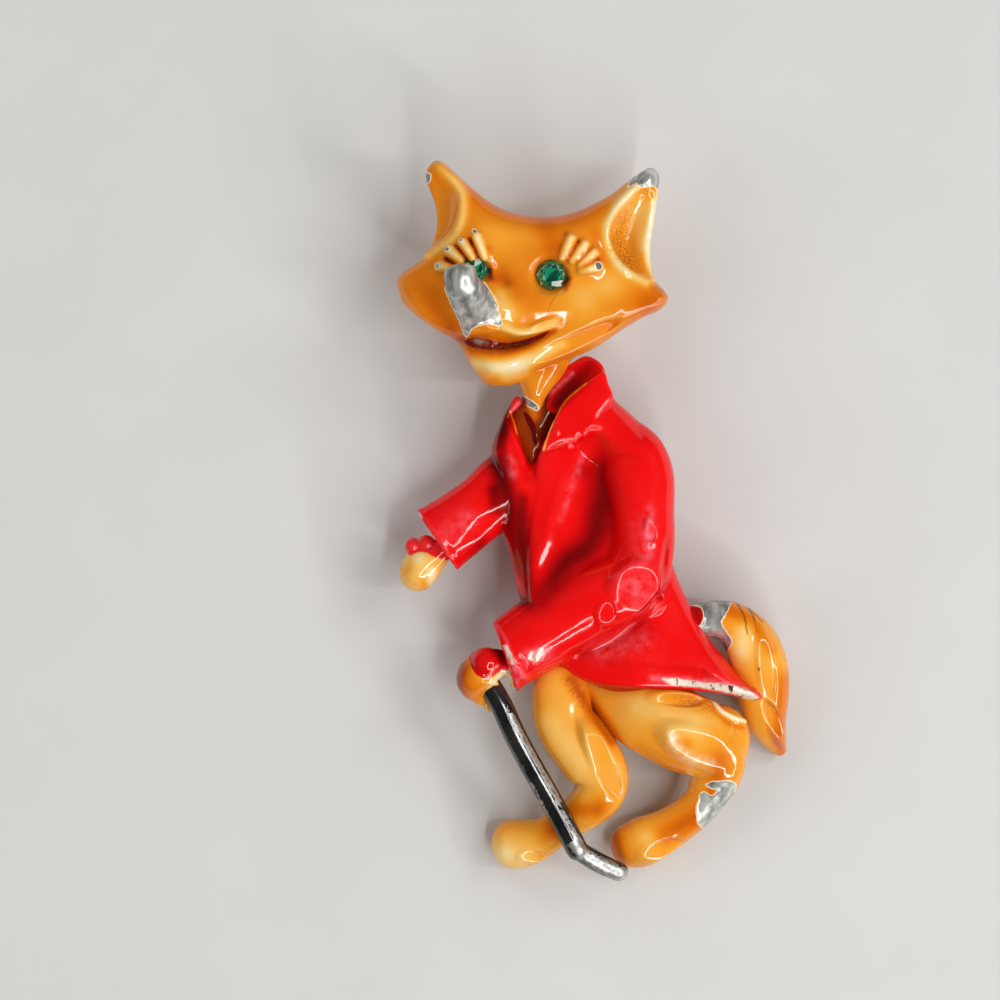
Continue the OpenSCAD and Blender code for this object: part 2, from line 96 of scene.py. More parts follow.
def pick(piece):
    clearSelection()
    piece.select_set(True)
    bpy.context.view_layer.objects.active = piece


def applyModifier(piece, kind, **settings):
    pick(piece)
    added = piece.modifiers.new(kind, kind)
    for key, value in settings.items():
        setattr(added, key, value)
    bpy.ops.object.modifier_apply(modifier=added.name)


def pointsOf(piece):
    flat = np.empty(len(piece.data.vertices) * 3)
    piece.data.vertices.foreach_get("co", flat)
    return flat.reshape(-1, 3)


def normalsOf(piece):
    flat = np.empty(len(piece.data.vertices) * 3, np.float32)
    piece.data.vertex_normals.foreach_get("vector", flat)
    return flat.reshape(-1, 3).astype(float)


def setPoints(piece, places):
    piece.data.vertices.foreach_set("co", places.ravel())
    piece.data.update()


# With no window, rotate turns the other way, so a turn is given with its sign changed
def turnSelected(angle, centre):
    bpy.ops.transform.rotate(value=-angle, orient_axis="Z", center_override=centre)


endAngles = (0.45, 0.85, 1.2, 1.45)  # rings of a rounded end, in radians
cuffRings = 4  # rings over which a sleeve turns to face its cuff's way


def roundedEnd(row, way, blunt=1):
    reach = blunt * min(row[3], row[4])
    made = []
    for angle in endAngles:
        made.append(np.concatenate([row[:3] + way * reach * math.sin(angle), row[3:] * math.cos(angle)]))
    return made


# A limb: one ring extruded along smooth rows of across, up, rise, half width and half depth.
# A cuff is a last ring that faces its turn and is let in by its wall and depth, narrowing on the way.
# A fullness below 1 makes the section fuller than an ellipse, and blunt below 1 a flatter end
def growLimb(name, rows, steps=4, sides=28, roundStart=True, roundEnd=True, cuff=None, fullness=1,
             blunt=1):
    line = smoothRows(placed(rows), steps)
    ways = np.gradient(line[:, :3], axis=0)
    ways /= np.linalg.norm(ways, axis=1)[:, None]
    if roundStart:
        start = roundedEnd(line[0], -ways[0])[::-1]
        line, ways = np.vstack([start, line]), np.vstack([[ways[0]] * len(start), ways])
    if roundEnd:
        end = roundedEnd(line[-1], ways[-1], blunt)
        line, ways = np.vstack([line, end]), np.vstack([ways, [ways[-1]] * len(end)])
    turns = np.arctan2(ways[:, 1], ways[:, 0]) - math.pi / 2
    if cuff:
        blend = np.clip((np.arange(len(line)) - len(line) + cuffRings + 1) / cuffRings, 0, 1)
        target = math.radians(cuff["turn"]) - math.pi / 2
        turns += blend * ((target - turns + math.pi) % (2 * math.pi) - math.pi)
    clearSelection()
    bpy.ops.mesh.primitive_circle_add(
        vertices=sides, radius=1, fill_type="NGON", location=line[0][:3], rotation=(math.pi / 2, 0, 0))
    limb = bpy.context.object
    limb.name = name
    bpy.ops.object.transform_apply(location=True, rotation=True, scale=True)
    section = pointsOf(limb) - line[0][:3]
    setPoints(limb, line[0][:3] + np.sign(section) * np.abs(section) ** fullness)
    bpy.ops.object.mode_set(mode="EDIT")
    bpy.ops.mesh.select_all(action="SELECT")
    bpy.ops.transform.resize(value=(line[0][3], 1, line[0][4]), center_override=line[0][:3])
    turnSelected(turns[0], line[0][:3])
    for before, row, oldTurn, turn in zip(line[:-1], line[1:], turns[:-1], turns[1:]):
        bpy.ops.mesh.extrude_region_move(TRANSFORM_OT_translate={"value": row[:3] - before[:3]})
        turnSelected(-oldTurn, row[:3])
        bpy.ops.transform.resize(value=(row[3] / before[3], 1, row[4] / before[4]),
                                 center_override=row[:3])
        turnSelected(turn, row[:3])
    if cuff:
        mouth = line[-1][:3]
        inward = -ways[-1] * cuff["depth"]
        wall = 1 - cuff["wall"] / line[-1][3]
        bpy.ops.mesh.extrude_region_move(TRANSFORM_OT_translate={"value": (0, 0, 0)})
        bpy.ops.transform.resize(value=(wall,) * 3, center_override=mouth)
        bpy.ops.mesh.extrude_region_move(TRANSFORM_OT_translate={"value": inward})
        bpy.ops.transform.resize(value=(cuff["narrowing"],) * 3, center_override=mouth + inward)
    bpy.ops.object.mode_set(mode="OBJECT")
    return limb


farAway = 1e9


# Share along a segment that lies nearest to every place, and how far the place is from it
def towardsSegment(places, a, b):
    side = b[:2] - a[:2]
    along = np.clip((places[:, :2] - a[:2]) @ side / max(side @ side, 1e-9), 0, 1)
    return along, np.linalg.norm(places[:, :2] - a[:2] - along[:, None] * side, axis=1)


def outlineDistance(places, ring):
    best = np.full(len(places), farAway)
    for a, b in zip(ring, np.roll(ring, -1, axis=0)):
        best = np.minimum(best, towardsSegment(places, a, b)[1])
    return best


def insideOutline(places, ring):
    inside = np.zeros(len(places), bool)
    for a, b in zip(ring, np.roll(ring, -1, axis=0)):
        if a[1] != b[1]:
            crossing = a[0] + (places[:, 1] - a[1]) * (b[0] - a[0]) / (b[1] - a[1])
            inside ^= ((a[1] > places[:, 1]) != (b[1] > places[:, 1])) & (places[:, 0] < crossing)
    return inside


# Signed distance in millimetres from the nearest listed patch, below 0 inside it. A patch's rise
# gives the lowest and highest places that it covers
def patchesDistance(places, patches):
    nearest = np.full(len(places), 1.0)
    for patch in patches:
        ring = smoothRows(placed(patch["outline"]), 3, closed=True)
        far = outlineDistance(places, ring)
        far = np.where(insideOutline(places, ring), -far, far)
        low, high = patch.get("rise", (-1, 99))
        outside = np.maximum(low - places[:, 2], places[:, 2] - high)
        nearest = np.minimum(nearest, np.maximum(far, outside))
    return nearest


# A soft stroke over the view: across, up, reach in millimetres and strength, which fades past its reach
def strokeField(places, stroke, hardness=2):
    line = placed(stroke)
    line = smoothRows(line, 4) if len(line) > 1 else np.vstack([line, line])
    best = np.full(len(places), farAway)
    found = np.zeros((len(places), 2))
    for a, b in zip(line[:-1], line[1:]):
        along, far = towardsSegment(places, a, b)
        near = far < best
        best[near] = far[near]
        found[near] = (a[2:4] + along[:, None] * (b[2:4] - a[2:4]))[near]
    return found[:, 1] * np.exp(-(best / np.maximum(found[:, 0], 0.02)) ** hardness)


def strokesField(places, strokes, hardness=2):
    total = np.zeros(len(places))
    for stroke in strokes:
        total += strokeField(places, stroke, hardness)
    return total


# A stroke along an arc
def ringStroke(centre, radius, reach, strength, start, end):
    angles = np.radians(np.linspace(start, end, 13))
    return [(centre[0] + radius * math.cos(a), centre[1] - radius * math.sin(a), reach,
             strength) for a in angles]


# A cast plate: its outline is filled, thickened, cut into a fine skin, and crowned in from the rim
def castPlate(name, outline, look, relief=(), pits=(), voxel=0.14):
    ring = smoothRows(placed(outline), 3, closed=True)
    clearSelection()
    bpy.ops.mesh.primitive_circle_add(vertices=len(ring), radius=1, fill_type="NGON")
    plate = bpy.context.object
    plate.name = name
    setPoints(plate, np.column_stack([ring[:, :2], np.zeros(len(ring))]))
    bpy.ops.object.mode_set(mode="EDIT")
    bpy.ops.mesh.select_all(action="SELECT")
    bpy.ops.mesh.extrude_region_move(TRANSFORM_OT_translate={"value": (0, 0, 1)})
    bpy.ops.mesh.select_all(action="SELECT")
    bpy.ops.mesh.normals_make_consistent(inside=False)
    bpy.ops.object.mode_set(mode="OBJECT")
    applyModifier(plate, "REMESH", mode="VOXEL", voxel_size=voxel)
    places = pointsOf(plate)
    side = np.clip(2 * places[:, 2] - 1, -1, 1)
    far = outlineDistance(places, ring)
    rimWidth = look["rimWidth"] / (1 + strokesField(places, look.get("sharp", ())))
    crown = np.sqrt(1 - (1 - np.clip(far / rimWidth, 0, 1)) ** 2)
    back = np.sqrt(1 - (1 - np.clip(far / look["backWidth"], 0, 1)) ** 2)
    raised = look["crown"] + strokesField(places, relief)
    front = crown * raised + strokesField(places, pits, 5)
    lean = look.get("lean", (0, 0))
    middle = ring[:, :2].mean(axis=0)
    swell = np.where(side > 0, side * front, side * back * look["back"])
    places[:, 2] = look["rim"] + side * look["wall"] / 2 + swell
    places[:, 2] += (places[:, :2] - middle) @ np.array(lean)
    setPoints(plate, places)
    return plate


# Several closed forms become one skin
def fuse(name, parts, voxel=0.1, rounds=4):
    clearSelection()
    for part in parts:
        part.select_set(True)
    bpy.context.view_layer.objects.active = parts[0]
    if len(parts) > 1:
        bpy.ops.object.join()
    piece = bpy.context.object
    piece.name = piece.data.name = name
    applyModifier(piece, "REMESH", mode="VOXEL", voxel_size=voxel)
    applyModifier(piece, "SMOOTH", factor=0.5, iterations=rounds)
    return piece


# Height of the top of a piece at a place of the view
def topAt(piece, px, py, reach=0.25):
    spot = placed([(px, py)])[0]
    places = pointsOf(piece)
    near = np.linalg.norm(places[:, :2] - spot, axis=1) < reach
    return places[near, 2].max()


# Strokes that push the front of a skin in or out
def sculpt(piece, strokes):
    places, facing = pointsOf(piece), normalsOf(piece)
    lift = strokesField(places, strokes) * np.clip(3 * facing[:, 2], 0, 1)
    setPoints(piece, places + facing * lift[:, None])


# Every flattened spot leans to face the ring of lights and is a little domed. Raised and lowered say
# where its blend ends and how wide that is, in shares of the spot. Deepest says it in millimetres of
# its change
spotForm = {
    "lean": (-0.29, 0.23), "dome": (0.08, 0.09), "raised": (1.85, 0.75), "lowered": (1.4, 0.4),
    "deepest": (1.3, 0.6)}


def faded(values, end):
    return np.clip((end[0] - values) / end[1], 0, 1)


# Flattened spots that mirror the ring of lights as closed loops: across, up, half length and half width
# in pixels, turn in degrees and lift in millimetres
def flattenSpots(piece, spots):
    places, facing = pointsOf(piece), normalsOf(piece)
    front = np.clip(4 * facing[:, 2] - 0.6, 0, 1)
    for px, py, along, across, turn, lift in spots:
        away = places[:, :2] - placed([(px, py)])[0]
        angle, along, across = math.radians(turn), along * pixel, across * pixel
        u = away @ np.array((math.cos(angle), math.sin(angle))) / along
        v = away @ np.array((-math.sin(angle), math.cos(angle))) / across
        far = np.hypot(u, v)
        level = np.median(places[(far < 0.3) & (front > 0.9), 2]) + lift
        domeAlong, domeAcross = spotForm["dome"]
        cap = level + away @ np.array(spotForm["lean"])
        cap -= domeAlong * along * u ** 2 + domeAcross * across * v ** 2
        gap = cap - places[:, 2]
        weight = np.where(gap > 0, faded(far, spotForm["raised"]), faded(far, spotForm["lowered"]))
        weight = weight * weight * (3 - 2 * weight) * front * faded(np.abs(gap), spotForm["deepest"])
        places[:, 2] += weight * gap
    setPoints(piece, places)


softLevels = 8


# More smoothing along strokes, where one form runs into the next
def soften(piece, strokes, rounds):
    weights = np.clip(strokesField(pointsOf(piece), strokes, 4), 0, 1)
    group = piece.vertex_groups.new(name="soft")
    for level in range(1, softLevels + 1):
        chosen = np.flatnonzero(np.round(weights * softLevels) == level)
        group.add(chosen.tolist(), level / softLevels, "REPLACE")
    applyModifier(piece, "SMOOTH", factor=0.5, iterations=rounds, vertex_group="soft")
    piece.vertex_groups.clear()


# How far a skin lies under its own smoothed form, in valleys above 0 and on ridges below
def hollowness(piece, rounds):
    places, facing = pointsOf(piece), normalsOf(piece)
    pick(piece)
    bpy.ops.object.duplicate()
    copy = bpy.context.object
    applyModifier(copy, "SMOOTH", factor=0.5, iterations=rounds)
    found = ((pointsOf(copy) - places) * facing).sum(axis=1)
    bpy.data.objects.remove(copy)
    return found


def store(piece, name, values):
    layer = piece.data.attributes.new(name, "FLOAT", "POINT")
    layer.data.foreach_set("value", np.asarray(values, np.float32))


# Shared paint. Tone goes from pale to deep: strokes give the enamel's own zones together with painted
# shade and painted highlights, and valleys are painted deeper, partly for enamel that pools there and
# partly as painted shade. Chips, a few of which are painted highlights, and seconds in the other enamel,
# are signed distances. Stain, wear with painted sheen, and cracks go from 0 to 1, and bright is the bare
# metal's, lifted by glints as a painted highlight
paintForm = {"pooling": 2.2, "poolShadeRounds": 14, "poolShadeRange": (-0.05, 0.09), "enamel": 0.06,
             "chipEdge": 0.12}


def paintSkin(piece, look):
    places, facing = pointsOf(piece), normalsOf(piece)
    front = np.clip(4 * facing[:, 2] + 1, 0, 1)
    # Tone strokes: the enamel's own zones together with painted shade and painted highlights
    tone = look["tone"] + front * strokesField(places, look.get("shades", ()))
    # Valleys painted deeper: partly enamel that pools there, partly painted shade
    poolAndShade = np.clip(hollowness(piece, paintForm["poolShadeRounds"]), *paintForm["poolShadeRange"])
    tone += look.get("pooling", paintForm["pooling"]) * poolAndShade
    store(piece, "tone", np.clip(tone, 0, 1))
    # Chips are mostly real, but a few are painted highlights cut as bare patches
    chip = patchesDistance(places, look.get("chips", ()))
    store(piece, "chip", chip)
    store(piece, "second", patchesDistance(places, look.get("seconds", ())))
    # Wear strokes carry painted sheen and painted highlights as well as real wear
    for name, key, hardness in (("stain", "stains", 2), ("wornAndSheen", "wear", 2), ("crack", "cracks", 4)):
        store(piece, name, np.clip(front * strokesField(places, look.get(key, ()), hardness), 0, 1))
    # Glints lighten the bare metal as a painted highlight
    store(piece, "bright", look.get("bareTone", 0) + strokesField(places, look.get("glints", ())))
    sunk = np.clip(-chip / paintForm["chipEdge"], 0, 1) * look.get("enamel", paintForm["enamel"])
    setPoints(piece, places - facing * sunk[:, None])


# The piece is shrunk to metres and takes the place of its node
def finishPiece(piece, material, node, smooth=True):
    pick(piece)
    if smooth:
        bpy.ops.object.shade_smooth()
    piece.scale = (millimetre, millimetre, millimetre)
    bpy.ops.object.transform_apply(location=True, rotation=True, scale=True)
    piece.data.materials.clear()
    piece.data.materials.append(material)
    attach(piece, "root")
    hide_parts(node)
    print("made", piece.name, len(piece.data.polygons), "faces")


# The last steps of every enamelled piece
def dressPiece(piece, look, finish, node):
    if "blends" in look:
        soften(piece, look["blends"], look["blendRounds"])
    sculpt(piece, look["strokes"])
    flattenSpots(piece, look.get("loops", ()))
    paintSkin(piece, look["paint"])
    finishPiece(piece, finish, node)


# A shader node: values are its inputs, by name or place, and settings its own choices
def addNode(tree, kind, values=None, **settings):
    made = tree.nodes.new(kind)
    for key, value in settings.items():
        setattr(made, key, value)
    for key, value in (values or {}).items():
        if isinstance(value, bpy.types.NodeSocket):
            tree.links.new(value, made.inputs[key])
        else:
            made.inputs[key].default_value = value
    return made


def maths(tree, operation, *values, clamp=False):
    made = addNode(tree, "ShaderNodeMath", dict(enumerate(values)), operation=operation, use_clamp=clamp)
    return made.outputs[0]


# A value mapped from one range to another, and held at its ends
def ranged(tree, value, low, high, toLow=0, toHigh=1):
    made = addNode(tree, "ShaderNodeMapRange", {0: value, 1: low, 2: high, 3: toLow, 4: toHigh})
    return made.outputs[0]


def ramp(tree, factor, stops):
    made = addNode(tree, "ShaderNodeValToRGB", {0: factor})
    points = made.color_ramp.elements
    for i, (at, colour) in enumerate(stops):
        point = points[i] if i < 2 else points.new(at)
        point.position, point.color = at, (*colour, 1)
    return made.outputs[0]


def mixed(tree, factor, first, second):
    values = {0: factor, 6: first if not isinstance(first, tuple) else (*first, 1),
              7: second if not isinstance(second, tuple) else (*second, 1)}
    return addNode(tree, "ShaderNodeMix", values, data_type="RGBA").outputs[2]


def attribute(tree, name):
    return addNode(tree, "ShaderNodeAttribute", attribute_name=name).outputs["Fac"]


def noiseOf(tree, place, scale, detail=3, roughness=0.5):
    return addNode(tree, "ShaderNodeTexNoise",
                   {"Vector": place, "Scale": scale, "Detail": detail,
                    "Roughness": roughness}).outputs["Fac"]


def newFinish(name):
    made = bpy.data.materials.new(name)
    made.use_nodes = True
    tree = made.node_tree
    tree.nodes.clear()
    place = addNode(tree, "ShaderNodeTexCoord").outputs["Object"]
    shader = addNode(tree, "ShaderNodeBsdfPrincipled")
    addNode(tree, "ShaderNodeOutputMaterial", {"Surface": shader.outputs[0]})
    return made, tree, place, shader


def setShader(tree, shader, values):
    for key, value in values.items():
        if isinstance(value, bpy.types.NodeSocket):
            tree.links.new(value, shader.inputs[key])
        else:
            shader.inputs[key].default_value = value if not isinstance(value, tuple) else (*value, 1)


amberTones = [(0.0, (0.93, 0.78, 0.46)), (0.2, (0.90, 0.54, 0.14)), (0.4, (0.86, 0.34, 0.025)),
              (0.6, (0.76, 0.19, 0.003)), (0.78, (0.55, 0.09, 0.001)), (0.9, (0.24, 0.028, 0.001)),
              (1.0, (0.06, 0.008, 0.002))]
redTones = [(0.0, (0.88, 0.28, 0.30)), (0.2, (0.86, 0.03, 0.035)), (0.36, (0.84, 0.004, 0.004)),
            (0.56, (0.52, 0.001, 0.002)), (0.76, (0.20, 0.0005, 0.001)), (1.0, (0.03, 0.0005, 0.001))]


# Noise scales of the enamel, and the edges between which each of its marks comes in
grain = {
    "fine": 1600, "grit": 5200, "streak": 1300, "streakStretch": 0.22, "stain": (0.42, 0.62),
    "wornAndSheen": (0.3, 0.75), "second": (0.03, -0.03), "secondRagged": 0.25, "bare": (0.015, -0.015),
    "lipOuter": (0.12, 0.05), "lipInner": (-0.02, 0.02), "crack": (0.3, 0.5, 0.4, 1),
    "gloss": (0.3, 0.7, 0.05, 0.13), "speckSunk": -0.4, "bareRough": 1.2, "bump": 0.00006}


# Glossy enamel over cast metal: tones from paint with painted shade and painted highlights, valleys
# painted deeper, specks, brown stipple, wear with painted sheen, and bare chips, a few of them painted
# highlights
def enamelFinish(name, look):
    made, tree, place, shader = newFinish(name)
    broad = noiseOf(tree, place, look["cloudScale"], 2)
    fine = noiseOf(tree, place, grain["fine"], 4)
    grit = noiseOf(tree, place, grain["grit"], 2)
    clouded = maths(tree, "MULTIPLY_ADD", maths(tree, "SUBTRACT", broad, 0.5), look["cloud"],
                    attribute(tree, "tone"))
    colour = ramp(tree, clouded, look["tones"])
    if "secondTones" in look:
        other = ramp(tree, clouded, look["secondTones"])
        edge = maths(tree, "MULTIPLY_ADD", maths(tree, "SUBTRACT", fine, 0.5), grain["secondRagged"],
                     attribute(tree, "second"))
        colour = mixed(tree, ranged(tree, edge, *grain["second"]), colour, other)
    stain = maths(tree, "MULTIPLY", attribute(tree, "stain"), ranged(tree, grit, *grain["stain"]))
    colour = mixed(tree, stain, colour, look["stainColour"])
    # Wear and painted sheen share this mask and its colour
    wornAndSheen = maths(tree, "MULTIPLY", attribute(tree, "wornAndSheen"), ranged(tree, fine, *grain["wornAndSheen"]))
    colour = mixed(tree, wornAndSheen, colour, look["wornAndSheenColour"])
    cells = addNode(tree, "ShaderNodeTexVoronoi", {"Vector": place, "Scale": look["speckScale"]})
    chosen = maths(tree, "GREATER_THAN", addNode(
        tree, "ShaderNodeSeparateColor", {0: cells.outputs["Color"]}).outputs[0], 1 - look["speckShare"])
    dot = ranged(tree, cells.outputs["Distance"], look["speckSize"], look["speckSize"] * 0.6)
    speck = maths(tree, "MULTIPLY", chosen, dot)
    colour = mixed(tree, speck, colour, look["speckColour"])
    edge = maths(tree, "MULTIPLY_ADD", maths(tree, "SUBTRACT", fine, 0.5), look["ragged"],
                 attribute(tree, "chip"))
    bare = ranged(tree, edge, *grain["bare"])
    lip = maths(tree, "MULTIPLY", ranged(tree, edge, *grain["lipOuter"]),
                ranged(tree, edge, *grain["lipInner"]))
    colour = mixed(tree, lip, colour, look["lipColour"])
    streaks = addNode(tree, "ShaderNodeMapping", {
        "Vector": place, "Rotation": (0, 0, look["streakTurn"]),
        "Scale": (1, grain["streakStretch"], 1)}).outputs[0]
    shine = maths(tree, "ADD", noiseOf(tree, streaks, grain["streak"], 4, 0.6), attribute(tree, "bright"))
    metal = ramp(tree, shine, look["underTones"])
    colour = mixed(tree, bare, colour, metal)
    crack = maths(tree, "MULTIPLY", attribute(tree, "crack"), ranged(tree, fine, *grain["crack"]))
    colour = mixed(tree, crack, colour, look["stainColour"])
    sunk = maths(tree, "MULTIPLY", speck, grain["speckSunk"])
    rough = maths(tree, "MULTIPLY", bare, maths(tree, "MULTIPLY", fine, grain["bareRough"]))
    height = maths(tree, "ADD", maths(tree, "MULTIPLY_ADD", broad, look["wave"], sunk), rough)
    bump = addNode(tree, "ShaderNodeBump", {"Strength": 0.5, "Distance": grain["bump"], "Height": height})
    setShader(tree, shader, {
        "Base Color": colour,
        "Metallic": maths(tree, "MULTIPLY", bare, look["underMetal"]),
        "Roughness": ranged(tree, maths(tree, "ADD", bare, maths(tree, "MULTIPLY", wornAndSheen, 0.5)), 0, 1,
                            ranged(tree, fine, *grain["gloss"]), look["underRoughness"]),
        "IOR": look["ior"],
        "Normal": bump.outputs[0]})
    return made


greyMetal = [(0.3, (0.15, 0.16, 0.16)), (0.5, (0.27, 0.28, 0.27)), (0.78, (0.78, 0.78, 0.70))]
amberLook = {
    "tones": amberTones, "secondTones": redTones, "cloudScale": 260, "cloud": 0.22,
    "stainColour": (0.13, 0.035, 0.008), "wornAndSheenColour": (0.95, 0.85, 0.62), "speckScale": 620,
    "speckShare": 0.07, "speckSize": 0.09, "speckColour": (0.12, 0.05, 0.02), "ragged": 0.35,
    "lipColour": (0.93, 0.80, 0.56), "underTones": greyMetal, "underMetal": 0.5,
    "underRoughness": 0.27, "wave": 1.0, "streakTurn": -0.45, "ior": 1.6}
redLook = {
    "tones": redTones, "secondTones": amberTones, "streakTurn": 1.4, "cloudScale": 200, "cloud": 0.16,
    "stainColour": (0.22, 0.07, 0.01), "wornAndSheenColour": (0.88, 0.20, 0.25), "speckScale": 560,
    "speckShare": 0.05, "speckSize": 0.09, "speckColour": (0.62, 0.20, 0.20), "ragged": 0.4,
    "lipColour": (0.80, 0.30, 0.28),
    "underTones": [(0.4, (0.05, 0.02, 0.015)), (0.45, (0.84, 0.68, 0.54)), (0.7, (0.94, 0.84, 0.72))],
    "underMetal": 0.1, "underRoughness": 0.35, "wave": 1.2, "ior": 1.45}


# Dark plating, worn through to grey metal; on the cane the same mask also paints a bright reflection
darkLook = {
    "fine": 2200, "broad": 420, "wornAndSheen": (0.12, 0.2), "metal": 0.85, "roughness": (0.12, 0.4),
    "coat": 0.6, "coatRoughness": 0.05,
    "plated": [(0.3, (0.035, 0.033, 0.034)), (0.7, (0.12, 0.115, 0.11))],
    "under": [(0.35, (0.30, 0.30, 0.29)), (0.65, (0.80, 0.79, 0.74))]}


def darkMetalFinish(name, look):
    made, tree, place, shader = newFinish(name)
    fine = noiseOf(tree, place, look["fine"], 4, 0.65)
    broad = noiseOf(tree, place, look["broad"], 3)
    # The wear mask also paints the cane's bright reflection
    wornAndSheenEdge = maths(tree, "ADD", attribute(tree, "wornAndSheen"), maths(tree, "MULTIPLY", broad, 0.25))
    wornAndSheen = ranged(tree, maths(tree, "SUBTRACT", wornAndSheenEdge, fine), *look["wornAndSheen"])
    colour = mixed(tree, wornAndSheen, ramp(tree, broad, look["plated"]), ramp(tree, fine, look["under"]))
    height = maths(tree, "MULTIPLY_ADD", wornAndSheen, -0.6, broad)
    bump = addNode(tree, "ShaderNodeBump", {"Strength": 0.4, "Distance": grain["bump"], "Height": height})
    setShader(tree, shader, {
        "Base Color": colour, "Metallic": look["metal"], "Normal": bump.outputs[0],
        "Roughness": ranged(tree, wornAndSheen, 0, 1, *look["roughness"]),
        "Coat Weight": look["coat"], "Coat Roughness": look["coatRoughness"]})
    return made


# Plain grey metal of the pin back
castLook = {
    "fine": 1500, "broad": 200, "metal": 0.95, "roughness": (0.3, 0.7, 0.22, 0.4), "bump": 0.00005,
    "tones": [(0.3, (0.30, 0.29, 0.27)), (0.55, (0.56, 0.55, 0.52)), (0.75, (0.72, 0.71, 0.68))]}


def castMetalFinish(name, look):
    made, tree, place, shader = newFinish(name)
    fine = noiseOf(tree, place, look["fine"], 5, 0.6)
    broad = noiseOf(tree, place, look["broad"], 3)
    both = maths(tree, "MULTIPLY_ADD", fine, 0.5, maths(tree, "MULTIPLY", broad, 0.5))
    bump = addNode(tree, "ShaderNodeBump", {"Strength": 0.3, "Distance": look["bump"], "Height": fine})
    setShader(tree, shader, {"Base Color": ramp(tree, both, look["tones"]), "Metallic": look["metal"],
                             "Normal": bump.outputs[0],
                             "Roughness": ranged(tree, fine, *look["roughness"])})
    return made


# Green glass over foil, with painted reflections: each facet is given its own green at random, and a few
# are painted white as a highlight
stoneLook = {
    "metal": 0.35, "roughness": 0.05, "ior": 1.7, "coat": 1.0, "coatRoughness": 0.02,
    "tones": [
        (0.0, (0.0, 0.02, 0.01)), (0.35, (0.0, 0.09, 0.045)), (0.62, (0.0, 0.30, 0.14)),
        (0.85, (0.05, 0.62, 0.33)), (1.0, (0.75, 0.95, 0.85))]}


def stoneFinish(name, look):
    made, tree, place, shader = newFinish(name)
    colour = ramp(tree, attribute(tree, "facetReflection"), look["tones"])
    setShader(tree, shader, {"Base Color": colour, "Metallic": look["metal"],
                             "Roughness": look["roughness"],
                             "IOR": look["ior"], "Coat Weight": look["coat"],
                             "Coat Roughness": look["coatRoughness"]})
    return made


floorLook = {"fine": 90, "roughness": 0.8,
             "tones": [(0.3, (0.63, 0.62, 0.60)), (0.7, (0.65, 0.64, 0.62))]}


def floorFinish(name, look):
    made, tree, place, shader = newFinish(name)
    colour = ramp(tree, noiseOf(tree, place, look["fine"], 3), look["tones"])
    setShader(tree, shader, {"Base Color": colour, "Roughness": look["roughness"]})
    return made


amberEnamel = enamelFinish("amberEnamel", amberLook)
redEnamel = enamelFinish("redEnamel", redLook)
darkMetal = darkMetalFinish("darkMetal", darkLook)
castMetal = castMetalFinish("castMetal", castLook)
greenStone = stoneFinish("greenStone", stoneLook)
print("finishes made")


